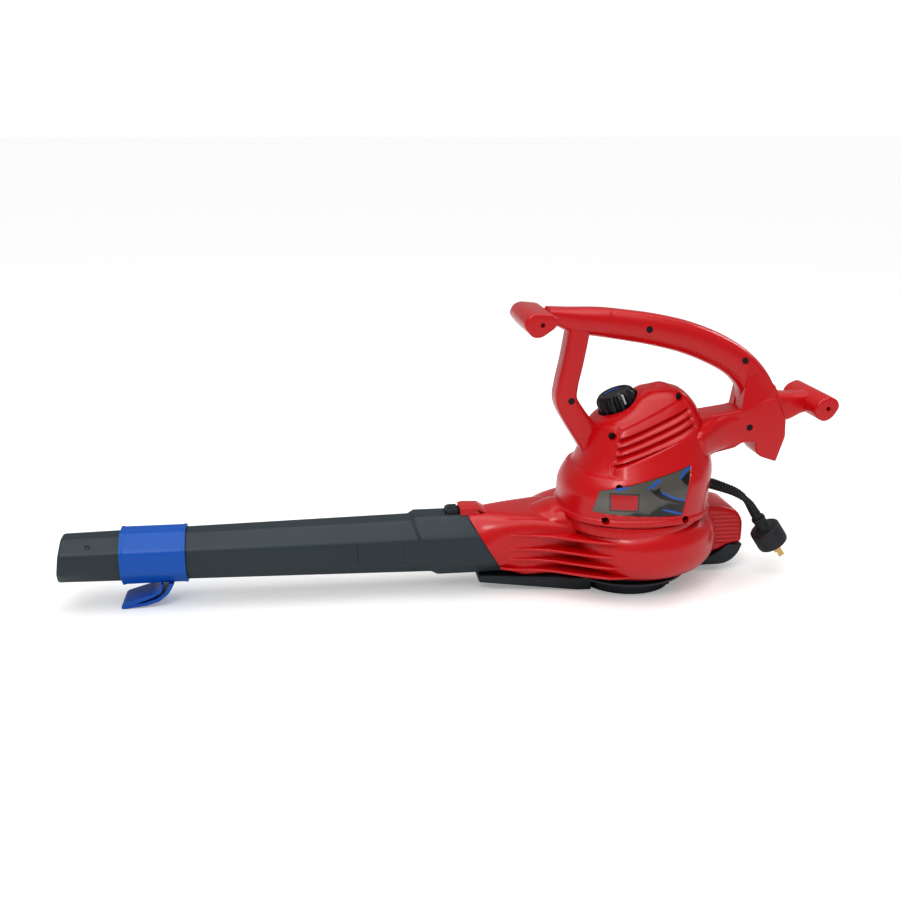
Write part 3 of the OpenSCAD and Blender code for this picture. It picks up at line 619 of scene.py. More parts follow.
RED = Plastic("glossy_red", (0.62, 0.002, 0.006), 0.3, grain=1400, depth=0.006, mottle=0.05, coat=0.3)
SLATE = Plastic("dark_slate", (0.020, 0.031, 0.039), 0.48, grain=1500, depth=0.03, mottle=0.1)
TUBE = Plastic("tube_slate", (0.028, 0.045, 0.053), 0.46, grain=1300, depth=0.035, mottle=0.12)
BLUE = Plastic("clip_blue", (0.001, 0.105, 0.5), 0.4, grain=1500, depth=0.02, mottle=0.06)
BLACK = Plastic("knob_black", (0.012, 0.014, 0.017), 0.38, grain=1500, depth=0.02)
RUBBER = Plastic("cord_rubber", (0.018, 0.022, 0.026), 0.5, grain=1800, depth=0.03)
STEEL = Plastic("bright_steel", (0.6, 0.6, 0.61), 0.3, grain=900, depth=0.008, metallic=1.0)
SHEET = Plastic("lamination", (0.25, 0.25, 0.26), 0.45, grain=2500, depth=0.02, metallic=1.0)
CAST = Plastic("cast_bracket", (0.55, 0.56, 0.57), 0.5, grain=1200, depth=0.05, metallic=1.0)
COPPER = Plastic("enamelled_copper", (0.6, 0.23, 0.08), 0.35, grain=1600, depth=0.02, metallic=1.0)
BRASS = Plastic("brass", (0.68, 0.5, 0.2), 0.3, grain=1100, depth=0.01, metallic=1.0)
WHITE = Plastic("natural_nylon", (0.7, 0.69, 0.62), 0.5, grain=1300, depth=0.02)
GREY = Plastic("pointer_grey", (0.5, 0.53, 0.55), 0.4, grain=1300, depth=0.01)
BOARD = Plastic("coated_board", (0.02, 0.12, 0.04), 0.35, grain=800, depth=0.02)
SCREW = Plastic("black_oxide", (0.02, 0.02, 0.022), 0.4, grain=1500, depth=0.01, metallic=0.6)
FILM = PrintedFilm()


class Paintbox:
    """Makes each finish's material once."""

    def __init__(self) -> None:
        """Starts with no materials made."""
        self.made: dict[str, bpy.types.Material] = {}

    def get(self, finish: Plastic | PrintedFilm) -> bpy.types.Material:
        """The finish's material, made on first use.

        Args:
            finish: one of the finishes above.

        Returns:
            Its material.
        """
        if finish.name not in self.made:
            self.made[finish.name] = finish.material()
        return self.made[finish.name]

    def dress(self, piece: bpy.types.Object, finish: Plastic | PrintedFilm, body: str, slot: str,
              *nodes: str) -> bpy.types.Object:
        """Gives a finished piece its material, body, record slot and the nodes that it stands for.

        Args:
            piece: the new object.
            finish: its finish.
            body: the CAD body that it rides on.
            slot: the record's material slot, not used.
            nodes: the CAD nodes that it replaces.

        Returns:
            The piece.
        """
        piece.data.materials.clear()
        piece.data.materials.append(self.get(finish))
        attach(piece, body)
        if nodes:
            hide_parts(*nodes)
        LOG.info("%s on %s, %d faces", piece.name, body, len(piece.data.polygons))
        return piece


# ---------- studio ----------


@dataclass
class Studio:
    """Camera, floor and soft lights. Angles are in degrees, lengths in metres and lamps in watts."""

    spot: Spot = (-0.3535, -1.1816, 0.5022)
    lens: float = 45.2
    azimuth: float = -7.3
    elevation: float = 16.0
    floor_half: float = 60.0
    floor_grey: float = 0.9
    floor_glow: float = 0.26
    sun_power: float = 1.25
    sun_spread: float = 75.0
    sun_way: Spot = (0.25, 0.3, -1.0)
    room_light: float = 0.26
    room_seen: float = 1.6
    lamps: tuple = (("key", (-0.9, -1.5, 1.6), 0.55, 6.0, (0.0, 0.0, 0.1)),
                    ("overhead", (0.1, 0.3, 1.6), 1.3, 4.0, (0.0, 0.0, 0.0)),
                    ("rim", (1.3, 0.7, 1.1), 0.6, 4.0, (0.0, 0.0, 0.15)))

    def build(self) -> None:
        """Places the camera, the floor, the lights and the pale surroundings."""
        scene = bpy.context.scene
        turn, tilt = math.radians(self.azimuth), math.radians(self.elevation)
        camera = linked("camera", bpy.data.cameras.new("camera"))
        camera.data.lens = self.lens
        camera.data.sensor_width = 36.0
        camera.location = self.spot
        flat = math.cos(tilt)
        self._face(camera, Vector((-math.sin(turn) * flat, math.cos(turn) * flat, -math.sin(tilt))))
        scene.camera = camera
        self._floor()
        for lamp in self.lamps:
            self._lamp(*lamp)
        self._sun()
        self._room(scene)
        scene.view_settings.view_transform = "Standard"
        scene.view_settings.look = "Medium High Contrast"

    @staticmethod
    def _face(thing: bpy.types.Object, way: Vector) -> None:
        """Turns a camera or a light to look along a direction, upright."""
        thing.rotation_euler = way.to_track_quat("-Z", "Y").to_euler()

    def _sun(self) -> None:
        """A wide, soft sun from high on the left, which lights the whole floor evenly."""
        sun = linked("soft_sun", bpy.data.lights.new("soft_sun", "SUN"))
        sun.data.energy = self.sun_power
        sun.data.angle = math.radians(self.sun_spread)
        self._face(sun, Vector(self.sun_way))

    def _room(self, scene: bpy.types.Scene) -> None:
        """Surroundings that look white to the camera and light the object more dimly.

        Args:
            scene: the scene that they belong to.
        """
        world = bpy.data.worlds.new("pale_room")
        world.use_nodes = True
        nodes, links = world.node_tree.nodes, world.node_tree.links
        back = nodes["Background"]
        path = nodes.new("ShaderNodeLightPath")
        level = nodes.new("ShaderNodeMapRange")
        set_sockets(back, {"Color": (1.0, 1.0, 1.0, 1.0)})
        set_sockets(level, {"To Min": self.room_light, "To Max": self.room_seen})
        links.new(path.outputs["Is Camera Ray"], level.inputs["Value"])
        links.new(level.outputs["Result"], back.inputs["Strength"])
        scene.world = world

    def _floor(self) -> None:
        """A plain pale floor that fills every view, a little lighter to the camera than to the object."""
        h, grey = self.floor_half, self.floor_grey
        mesh = bpy.data.meshes.new("floor")
        mesh.from_pydata([(-h, -h, 0), (h, -h, 0), (h, h, 0), (-h, h, 0)], [], [(0, 1, 2, 3)])
        floor = linked("floor", mesh)
        paint, tree, shader = blank_material("pale_floor")
        set_sockets(shader, {"Base Color": (grey, grey, grey, 1), "Roughness": 0.9,
                             "Emission Color": (1, 1, 1, 1)})
        path = tree.nodes.new("ShaderNodeLightPath")
        glow = tree.nodes.new("ShaderNodeMath")
        glow.operation = "MULTIPLY"
        glow.inputs[1].default_value = self.floor_glow
        tree.links.new(path.outputs["Is Camera Ray"], glow.inputs[0])
        tree.links.new(glow.outputs["Value"], shader.inputs["Emission Strength"])
        mesh.materials.append(paint)

    def _lamp(self, name: str, place: Spot, size: float, power: float, aim: Spot) -> None:
        """A square area light that faces a point.

        Args:
            name: the light's name.
            place: where it hangs.
            size: its side.
            power: its power.
            aim: the point that it faces.
        """
        lamp = linked(name, bpy.data.lights.new(name, "AREA"))
        lamp.data.size = size
        lamp.data.energy = power
        lamp.location = place
        self._face(lamp, Vector(aim) - Vector(place))


# ---------- mains pigtail ----------


@dataclass
class MainsPigtail:
    """The short cord with its strain reliefs and plug, in millimetres."""

    frame: dict
    diameter: float = 7.5
    route: Table = ((90, 113), (97, 110.5), (104, 108), (115, 104), (127, 99),
                    (137, 92.5), (145, 84.5), (151, 75.5), (157, 66.5))
    rib_pitch: float = 3.4
    rib_depth: float = 0.55
    plug_at: Spot = (157.0, 0.0, 66.5)
    plug_lean: float = 146.3
    plug_radius: float = 18.0
    plug_profile: Table = ((0, 0), (7.6, 0), (8.1, 2), (7.4, 5), (7.6, 10), (9.2, 14.2), (12, 15.2),
                           (16.2, 15.6), (17.6, 16.8), (17.9, 19), (17.9, 36.5), (17.4, 38.6),
                           (15.6, 39.6), (0, 39.6))
    finger_flutes: int = 24

    def build(self, paint: Paintbox) -> None:
        """Builds the cord first, then the ribbed reliefs and the plug body.

        Args:
            paint: the materials.
        """
        line = smooth_curve(self.route, 40)
        radius = self.diameter / 2 - 0.02
        path = np.column_stack([line, np.full((len(line), 2), radius), np.full(len(line), 2.0)])
        cord = Draft("mains_cord").loft(bar_rings(path, 20)).build()
        paint.dress(cord, RUBBER, "root", "black_rubber", "power_cord")
        shell_end = self._ribbed("cord_relief_sleeve", line[:25], 6.7, 4.9, "cord_relief", paint)
        plug_end = self._ribbed("plug_sleeve", line[27:], 4.6, 6.2, "plug_boot", paint)
        plug = self._plug(paint)

    def _ribbed(self, name: str, line: np.ndarray, start: float, end: float, node: str,
                paint: Paintbox) -> bpy.types.Object:
        """A tapered relief whose radius dips by a cosine between ribs.

        Args:
            name: the piece's name.
            line: the stretch of the cord's line that it wraps.
            start: its radius at the first point.
            end: its radius at the last.
            node: the CAD node that it stands for.
            paint: the materials.

        Returns:
            The sleeve.
        """
        rows = 120
        fine = smooth_curve(line, rows)
        t = np.linspace(0, 1, rows)
        run = np.linalg.norm(np.diff(line, axis=0), axis=1).sum()
        wave = np.clip(np.cos(TURN * t * run / self.rib_pitch) * 2.2, -1, 1)
        rib = self.rib_depth * wave * ease(t, 0.1, 0.2) * (1 - ease(t, 0.85, 0.95))
        radius = start + (end - start) * t + rib - self.rib_depth
        path = np.column_stack([fine, radius, radius, np.full(rows, 2.2)])
        sleeve = Draft(name).loft(bar_rings(path, 32)).build()
        return paint.dress(sleeve, RUBBER, "root", "black_rubber", node)

    def _plug(self, paint: Paintbox) -> bpy.types.Object:
        """A turned plug: a waisted neck, a rounded shoulder and a straight drum with finger flutes.

        Each profile edge is halved, and the flutes are a cosine of the turn that fades at the drum's ends.

        Args:
            paint: the materials.

        Returns:
            The plug.
        """
        profile = np.array(self.plug_profile, float)
        fine = np.repeat(profile, 2, axis=0)[:-1]
        fine[1::2] = (profile[:-1] + profile[1:]) / 2
        columns = 96
        rings = turned_rings(fine, columns)
        drum = (ease(fine[:, 1], 18.5, 20) * (1 - ease(fine[:, 1], 35, 37)))[:, None]
        flute = 0.5 * (0.5 + 0.5 * np.cos(turn_angles(columns) * self.finger_flutes))[None] * drum
        rings[..., :2] *= (1 - flute / self.plug_radius)[..., None]
        plug = Draft("plug").loft(placed(rings, self.plug_at, self.plug_lean)).build()
        return paint.dress(plug, RUBBER, "root", "black_rubber", "plug_body")


# ---------- fan housing ----------


@dataclass
class FanHousing:
    """The red scroll with its neck, fins, rear block and latch bridge, in millimetres."""

    first_radius: float = 80.5
    step: float = 15.0
    floor: float = 19.0
    top: float = 88.0
    wall: float = 3.0
    bulge: float = 44.0
    neck_radius: float = 37.0
    neck_bore: float = 33.3
    mouth_x: float = -163.5
    throat_x: float = -66.0
    throat_at: tuple[float, float] = (15.5, 53.5)
    throat_half: tuple[float, float] = (54.0, 34.3)
    inlet: float = 60.3
    hood_seat: Table = ((0, 76), (80.4, 76), (80.4, 86.5), (80.0, 87.2), (77.4, 87.6), (77.2, 89.8),
                        (0, 89.8))
    ridge: Table = ((-128, 72, 15.5, 24, 2.2), (-112, 73.5, 16.2, 27, 2.2), (-97, 76, 18, 31, 2.2),
                    (-84, 78, 20.5, 34, 2.2), (-66, 78, 20.5, 35, 2.2))
    fin_front: Table = ((-150, -30), (-138, -37.2), (-118, -40), (-94, -47.5), (-72, -59.5),
                        (-52, -70), (-34, -76.5), (-12, -76))
    fin_levels: Table = ((31, 1.0), (43, 1.02), (55, 1.02), (70.5, 1.0))
    block: Table = ((92, 24), (92, 81.5), (118, 79), (134, 74.5), (142.6, 62), (142.6, 34), (127, 33),
                    (112, 24))
    block_width: tuple[float, float] = (4.4, 71.6)
    groove: Table = ((104, 2), (150, 2), (150, 60), (142, 60), (142, 8.5), (139, 5.3), (104, 5.3))
    grooves: int = 8
    groove_pitch: float = 4.9
    roof: Table = ((-192.6, 94.3), (-192.6, 96), (-188, 97), (-171, 96.4), (-162, 91), (-155, 87),
                   (-167, 88), (-176, 94.3))
    leg: Table = ((-192.6, 87), (-192.6, 95.6), (-173, 95.6), (-161, 90), (-155, 82), (-171, 82))

    def scroll(self, inset: float, columns: int = 256) -> np.ndarray:
        """The scroll: a half superellipse section carried round four quarter arcs.

        Each quarter's arc is a step wider than the last and has its own centre, so that the rim stays
        smooth. The section's outer side is a superellipse as wide as the bulge and half the height high.

        Args:
            inset: how far the surface is pulled in.
            columns: points in the turn.

        Returns:
            Rings from the top's middle to the floor's middle.
        """
        turn = np.linspace(0, 4, columns, endpoint=False)
        quarter = turn.astype(int)
        half = self.step / 2
        centre = half * np.array([(1, -1), (1, 1), (-1, 1), (-1, -1)], float)[quarter]
        radius = (self.first_radius + self.step * quarter) - inset
        angle = math.pi + turn * math.pi / 2
        phi = np.linspace(math.pi / 2, -math.pi / 2, 45)
        out, up = oval(phi, np.where(phi < 0, 2.15, 2.75))
        middle, half_high = (self.floor + self.top) / 2, (self.top - self.floor) / 2 - inset
        reach = radius[None] - self.bulge + self.bulge * out[:, None]
        x = centre[:, 0] + reach * np.cos(angle)
        y = centre[:, 1] + reach * np.sin(angle)
        z = np.broadcast_to((middle + half_high * up)[:, None], x.shape)
        body = np.stack([x, y, z], axis=-1)
        first, last = (np.zeros((1, columns, 3)) + [0, 0, z[k, 0]] for k in (0, -1))
        return np.concatenate([first, body, last])

    def neck(self, inset: float, front: float = 0.0) -> np.ndarray:
        """The neck: a section that turns from a circle at the slanted mouth into a rounded box.

        Half sizes, centre and squareness each run from the mouth's value to the scroll's by a smooth
        step, and the section's slant fades out in the same way.

        Args:
            inset: how far the surface is pulled in.
            front: how far the first section lies in front of the mouth.

        Returns:
            Rings from the mouth into the scroll.
        """
        t = np.linspace(0, 1, 70)[:, None]
        grow = ease(t, 0.1, 0.95)
        x = self.mouth_x - front + (self.throat_x - self.mouth_x + front) * t
        slant = math.tan(math.radians(MOUTH_LEAN)) * (1 - ease(t, 0.0, 0.55))
        start = self.neck_radius
        wide, high = (start + (half - start) * grow - inset for half in self.throat_half)
        mid_y, mid_z = self.throat_at[0] * grow, TUBE_Z + (self.throat_at[1] - TUBE_Z) * grow
        angle = turn_angles(128)[None]
        across, up = oval(angle, 2.0 + 2.6 * ease(t, 0.02, 0.5))
        y, z = mid_y + wide * across, mid_z + high * up
        return np.stack([x - (z - TUBE_Z) * slant, y, z], axis=-1)

    def saddle(self) -> np.ndarray:
        """The neck's back, which climbs towards the hood: a bar whose height and width grow rearwards."""
        return bar_rings(smooth_curve(self.ridge, 50), 96)

    def fins(self) -> list[np.ndarray]:
        """Four thin ribs that bridge the hollow between neck and scroll: rounded plates laid flat.

        Returns:
            The rings of each rib.
        """
        front = smooth_curve(self.fin_front, 60)
        outline = np.vstack([front, [(-12, -50), (-30, -20), (-120, -20)]])
        rings = plate_rings(outline, -1.5, 1.5, 1.1, 4)
        return [np.stack([rings[..., 0], rings[..., 2] * reach, rings[..., 1] + level], axis=-1)
                for level, reach in self.fin_levels]

    def rear_block(self) -> bpy.types.Object:
        """The block behind the scroll: a plate with well rounded edges, cut by flat L-shaped strips.

        Returns:
            The block.
        """
        block = Draft("rear_block").loft(plate_rings(rounded_outline(self.block, 10), *self.block_width, 6))
        cutters = Draft("groove_cutters")
        for k in range(self.grooves):
            z = 35 + self.groove_pitch * k
            cutters.loft(np.stack([np.insert(self.groove, 2, h, axis=1) for h in (z, z + 1.5)]))
        return combine(block.build(), cutters.build(), Work.CUT)

    def bridge(self, paint: Paintbox) -> None:
        """The bridge over the latch: a rounded roof on two legs, open where the latch's tongue passes.

        Args:
            paint: the materials.
        """
        arch = Draft("latch_bridge").loft(plate_rings(rounded_outline(self.roof, 2), -13.6, 13.6, 0.8))
        for y in (-11.6, 11.6):
            arch.loft(plate_rings(rounded_outline(self.leg, 2), y - 2, y + 2, 1.2))
        paint.dress(arch.build(), RED, "root", "red_plastic")

    def build(self, paint: Paintbox) -> None:
        """Joins the solids, hollows out scroll and neck, and opens the inlet.

        Args:
            paint: the materials.
        """
        housing = Draft("fan_housing").loft(self.scroll(0)).build()
        seat = turned_rings(self.hood_seat, 160) + [1, 0, 0]
        worked(housing, Work.JOIN, self.neck(0), seat, self.saddle(), *self.fins())
        combine(housing, self.rear_block(), Work.JOIN)
        inlet = turned_rings(((self.inlet, 10), (self.inlet, 30)), 128)
        hollow_neck = self.neck(self.neck_radius - self.neck_bore, 1.0)
        worked(housing, Work.CUT, self.scroll(self.wall), hollow_neck, inlet)
        paint.dress(housing, RED, "root", "red_plastic", "volute_upper")
        self.bridge(paint)


@dataclass
class LowerHousing:
    """The dark inlet ring with its hinge lugs, and the foot under the rear block, in millimetres."""

    ring: Table = ((46, 8.4), (46.4, 8), (47.6, 8), (48, 8.4), (48, 16.6), (68.2, 16.6), (68.2, 18.95),
                   (60.2, 19), (60.2, 21.9), (46.6, 21.9), (46.6, 19.1), (46, 18.9))
    lug: Table = ((56.9, 17.5), (65.1, 17.5), (65.1, 8.2), (56.9, 8.2))
    heel: Spot = (115.0, 36.0, 28.0)

    def build(self, paint: Paintbox) -> None:
        """Turns the ring, and adds lugs and foot as rounded plates. The foot's heel is an arc.

        Args:
            paint: the materials.
        """
        ring = Draft("inlet_ring").loft(turned_rings(self.ring, 128), looped=True)
        for y in (-9, 9):
            ring.loft(plate_rings(rounded_outline(self.lug, 4), y - 2, y + 2, 0.5))
        ring.loft(box_rings((54, 6, 16.6), (74, 50, 18.5)))
        paint.dress(ring.build(), SLATE, "root", "dark_plastic", "volute_lower")
        x, z, radius = self.heel
        sweep = np.radians(np.linspace(-90, -6, 12))
        arc = np.column_stack([x + radius * np.cos(sweep), z + radius * np.sin(sweep)])
        outline = [(104, 18.4), (68.2, 18.4), (68.2, 8.2), *arc, (126.4, 32.6), (114, 23.6)]
        rings = plate_rings(rounded_outline(outline, 2.5, 3), 4.1, 71.9, 3.2)
        foot = Draft("rear_foot").loft(rings).build()
        paint.dress(foot, SLATE, "root", "dark_plastic")


@dataclass
class InletCover:
    """The round hinged cover with its long front arm, in millimetres."""

    radius: float = 52.0
    height: float = 16.0
    slots: int = 18
    hinge: tuple[float, float] = (61.0, 12.3)
    knuckle: float = 4.2
    arm_reach: float = 172.0
    arm_half: float = 19.0
    arm_spread: float = 0.75

    def cup(self) -> Draft:
        """The turned cup: its floor steps round the slotted band, and its rim has small chamfers.

        Returns:
            The cup.
        """
        r, h = self.radius, self.height
        profile = ((14, 0), (14.2, 1.4), (45.8, 1.4), (46, 0), (r - 3, 0), (r - 0.9, 0.9), (r, 3),
                   (r, h - 0.6), (r - 0.6, h), (r - 3, h), (r - 3, 3), (9, 3), (9, 7))
        return Draft("cover_cup").loft(turned_rings(profile, 160))

    def slot_cutters(self) -> Draft:
        """Radial boxes, evenly spread round the turn.

        Returns:
            The cutters.
        """
        cutters = Draft("slot_cutters")
        x, y, z = np.moveaxis(box_rings((17, -2, -1), (43, 2, 6)), -1, 0)
        for a in turn_angles(self.slots):
            across, along = x * np.cos(a) - y * np.sin(a), x * np.sin(a) + y * np.cos(a)
            cutters.loft(np.stack([across, along, z], axis=-1))
        return cutters

    def build(self, paint: Paintbox) -> None:
        """Turns the cup, cuts its air slots, and adds the arm and the two hinge knuckles.

        The arm is a plate whose width grows by a smooth step towards the cup.

        Args:
            paint: the materials.
        """
        cover = combine(self.cup().build(), self.slot_cutters().build(), Work.CUT)
        paint.dress(cover, SLATE, "cover", "dark_plastic", "inlet_cover")
        side = rounded_outline([(-46, 1), (-62, 1.2), (-self.arm_reach, 10.2), (-self.arm_reach, 18.2),
                                (-84, 18.2), (-70, 16.4), (-46, 15.9)], 3)
        rings = plate_rings(side, -self.arm_half, self.arm_half, 1.4)
        rings[..., 1] *= 1 + self.arm_spread * ease(rings[..., 0], -168, -50)
        arm = Draft("cover_arm").loft(rings)
        x, z = self.hinge
        web = rounded_outline([(48, 4), (48, 15), (x, z + 3), (x, z - 4)], 1)
        for y0, y1 in ((-6, 6), (12, 18)):
            arm.loft(rod_along_y(x, z, y0, y1, self.knuckle)).loft(plate_rings(web, y0, y1, 0.4))
        paint.dress(arm.build(), SLATE, "cover", "dark_plastic")


# ---------- motor hood ----------


@dataclass
class MotorHood:
    """The red hood over the motor: louvres, panels, dial collar and screw wells, in millimetres."""

    foot: float = 90.0
    crown: float = 231.0
    crown_depth: float = 6.5
    levels: tuple[float, ...] = (0, 30, 42, 54, 70, 86, 102, 118, 132, 141)
    centres: tuple[float, ...] = (3.5, 5, 9, 13, 14.5, 15, 16, 28, 31, 31)
    lengths: tuple[float, ...] = (83.5, 83.5, 82, 78, 73, 67, 61, 42, 27, 10)
    widths: tuple[float, ...] = (78, 78, 76, 70, 62, 55, 47, 36, 24, 8)
    wells: Table = ((-31, 181, -31, -1), (46, 218.5, -15, -1), (-29, 131.5, -58, -1),
                    (-31, 181, 44, 1), (46, 218.5, 28, 1), (-43, 95.5, -60, -1), (44.5, 94, -60, -1))
    well_radius: float = 3.9
    panel: Table = ((-56, 103.5), (41, 98.8), (52, 151.6), (-49, 127))
    crease: Table = ((-37.5, 143.5), (-26, 190), (-23.4, 189), (-34.6, 143))
    field: Table = ((-33.5, 148.6), (65, 186.4), (52, 216), (46.4, 216.5), (-22.5, 188))
    louvres: int = 3
    louvre_low: Spot = (-34.0, 151.4, 0.3326)
    louvre_top: Spot = (-23.8, 179.3, 0.3654)
    louvre_depth: float = 4.4
    field_depth: float = 1.0
    panel_depth: float = 1.8
    crease_depth: float = 1.6
    front_step: float = 3.8
    skirt: float = 2.0
    film_faces: tuple[float, float] = (1.0, 2.1)
    collar: Table = ((0, -24), (24.4, -24), (25.4, -6), (25.0, -2.6), (23.6, -1.2), (0, -1.2))
    swoosh: Table = ((1.5, 131.5), (7, 129), (14, 132.5), (13.2, 129.5), (16.5, 125.5), (30, 118.5),
                     (44.5, 114.5), (44, 110.5), (30, 115), (14, 120.5), (8, 124.5))
    corner: Table = ((37.8, 139.5), (50, 146.5), (48.6, 136), (46, 131), (42, 134))
    # Dark shape along the panel's bottom edge: painted shade, not print, mixed in with the dark swooshes.
    painted_bottom_shade: Table = ((-12, 106), (2, 103.5), (12, 111), (24, 115), (44.8, 112), (42, 98), (-30, 98))
    strokes: tuple[Table, ...] = (
        ((1.2, 131.5), (6.5, 135.8), (14.5, 140.4), (16, 139.6), (8, 134), (3.2, 131.2)),
        ((16, 127.6), (28, 121.3), (45.4, 116.2), (45.2, 114.8), (28, 119.8), (16, 126)),
        ((37, 140), (41.5, 146.5), (52, 152), (52, 149.5), (43, 144.5), (39, 139.6)),
        ((18, 108.5), (30, 105), (41, 101), (41, 99.8), (29, 103.5), (18, 107.4)),
        ((-34, 130), (-22, 133), (-20, 132), (-33, 128.4)))
    patch: tuple[float, float, float, float] = (-37.6, -10.6, 108.4, 124.4)
    patch_edge: float = 1.8

    def _sections(self, z: np.ndarray) -> tuple[np.ndarray, np.ndarray, np.ndarray, np.ndarray]:
        """Centre, half length, half width and squareness at heights z, eased between the levels.

        Args:
            z: heights above the ground.

        Returns:
            The four values at each height.
        """
        at = np.asarray(self.levels, float) + self.foot
        spread = np.linspace(-5, 5, 11)
        out = []
        for values in (self.centres, self.lengths, self.widths):
            reach = z[..., None] + spread
            mirrored = np.where(reach < self.foot, 2 * self.foot - reach, reach)
            out.append(np.interp(mirrored, at, values).mean(-1))
        return out[0], out[1], out[2], 2.35 + 0.5 * ease(z, 150, 215)

    def surface_y(self, x: np.ndarray, z: np.ndarray) -> np.ndarray:
        """Half width of the plain hood at a point of the side view, from the superellipse's equation.

        Args:
            x: along the machine.
            z: above the ground.

        Returns:
            The distance from the middle plane.
        """
        centre, length, width, square = self._sections(z)
        return width * np.maximum(1 - np.abs((x - centre) / length) ** square, 1e-6) ** (1 / square)

    def _relief(self, x: np.ndarray, z: np.ndarray, sideways: np.ndarray) -> np.ndarray:
        """Depth of louvres, panels and steps below the plain surface.

        Louvre blades are a sawtooth of the height between two slanted lines: proud at each lower lip and
        deepest under the next. A panel is the part of the side view inside its four edges. Both fade
        where the surface stops facing sideways. The front steps in above the column's foot, and the
        skirt at the very bottom stands out.

        Args:
            x: along the machine.
            z: above the ground.
            sideways: share of the surface's direction that faces left or right.

        Returns:
            The depth at each point.
        """
        low, top = (z0 + slope * (x - x0) for x0, z0, slope in (self.louvre_low, self.louvre_top))
        level = self.louvres * (z - low) / (top - low)
        share = np.where(level < self.louvres, level % 1, 0.0)
        blade = ease(share, 0.12, 0.8) * (1 - ease(share, 0.94, 1.0))
        blade = np.where(level < 0, ease(level, -0.5, -0.2), blade)
        depth = polygon_mask(x, z, self.field, 1.6) * (self.field_depth + self.louvre_depth * blade)
        depth = depth + self.panel_depth * polygon_mask(x, z, self.panel, 0.5)
        depth = depth + self.crease_depth * polygon_mask(x, z, self.crease, 1.2)
        step = self.front_step * ease(-x, 20, 42) * ease(z, 139, 141.2) * (1 - 0.5 * ease(z, 142, 190))
        return depth * ease(sideways, 0.25, 0.45) + step - self.skirt * (1 - ease(z, 95.0, 96.5))

    def skin(self) -> np.ndarray:
        """The hood's surface: superellipse rings that shrink with height, pulled in by the relief.

        The last few rings close the top by a square root of their distance from it.

        Returns:
            Rings from the hood's foot to its crown.
        """
        body = np.linspace(self.foot, self.crown - 2.5, 230)
        z = np.concatenate([body, np.linspace(self.crown - 1.8, self.crown, 8)])[:, None]
        angle = turn_angles(420)[None]
        centre, length, width, square = self._sections(z)
        crown = np.sqrt(np.clip((self.crown - z) / self.crown_depth, 0.0, 1.0))
        c, s = oval(angle, square)
        tilt = np.arctan2(np.abs(s) ** (square - 1) / width, np.abs(c) ** (square - 1) / length)
        x = centre + length * crown * c
        depth = self._relief(x, z + 0 * angle, np.sin(tilt))
        depth = np.minimum(depth, 0.3 * width * crown)
        x = x - depth * np.cos(tilt) * np.sign(c)
        y = width * crown * s - depth * np.sin(tilt) * np.sign(s)
        return np.stack([x, y, z + 0 * angle], axis=-1)

    def panel_film(self, side: Side, paint: Paintbox) -> None:
        """One printed panel: a closed plate on a grid between the four corners, in the hood's recess.

        The grid runs evenly between the panel's low and high edges, and carries the ink masks.

        Args:
            side: which side of the hood.
            paint: the materials.
        """
        across, up = np.meshgrid(np.linspace(0.004, 0.996, 320), np.linspace(0.008, 0.992, 130))
        low_front, low_rear, high_rear, high_front = np.array(self.panel, float)
        low = low_front + (low_rear - low_front) * across[..., None]
        high = high_front + (high_rear - high_front) * across[..., None]
        flat = low + (high - low) * up[..., None]
        x, z = flat[..., 0], flat[..., 1]
        y = self.surface_y(x, z)
        face, back_face = (np.stack([x, side.value * (y - drop), z], axis=-1) for drop in self.film_faces)
        index = np.arange(x.size).reshape(x.shape)
        cells = [index[:-1, :-1], index[:-1, 1:], index[1:, 1:], index[1:, :-1]]
        quads = np.stack(cells, axis=-1).reshape(-1, 4)
        border = self._border(index[..., None])[:, 0]
        back = np.arange(len(border)) + x.size
        walls = np.stack([border, back, np.roll(back, -1), np.roll(border, -1)], axis=-1)
        if side is Side.RIGHT:
            quads, walls, back = quads[:, ::-1], walls[:, ::-1], back[::-1]
        draft = Draft(f"side_film_{side.name.lower()}")
        draft.points = [face.reshape(-1, 3), self._border(back_face)]
        draft.faces = quads.tolist() + walls.tolist() + [back[::-1].tolist()]
        film = draft.build()
        for name, mask in self._film_masks(x, z).items():
            layer = film.data.attributes.new(name, "FLOAT", "POINT")
            values = np.concatenate([mask.ravel(), np.zeros(len(border))]).astype(np.float32)
            layer.data.foreach_set("value", values)
        paint.dress(film, FILM, "root", "label_print", f"label_{side.name.lower()}")

    @staticmethod
    def _border(grid: np.ndarray) -> np.ndarray:
        """The grid's outer points in order, once round."""
        return np.concatenate([grid[0, :-1], grid[:-1, -1], grid[-1, :0:-1], grid[:0:-1, 0]])

    @staticmethod
    def _box(x0: float, x1: float, z0: float, z1: float, spread: float) -> Table:
        """Corners of an upright box in the side view, grown by spread on every side."""
        x0, x1, z0, z1 = x0 - spread, x1 + spread, z0 - spread, z1 + spread
        return (x0, z0), (x1, z0), (x1, z1), (x0, z1)

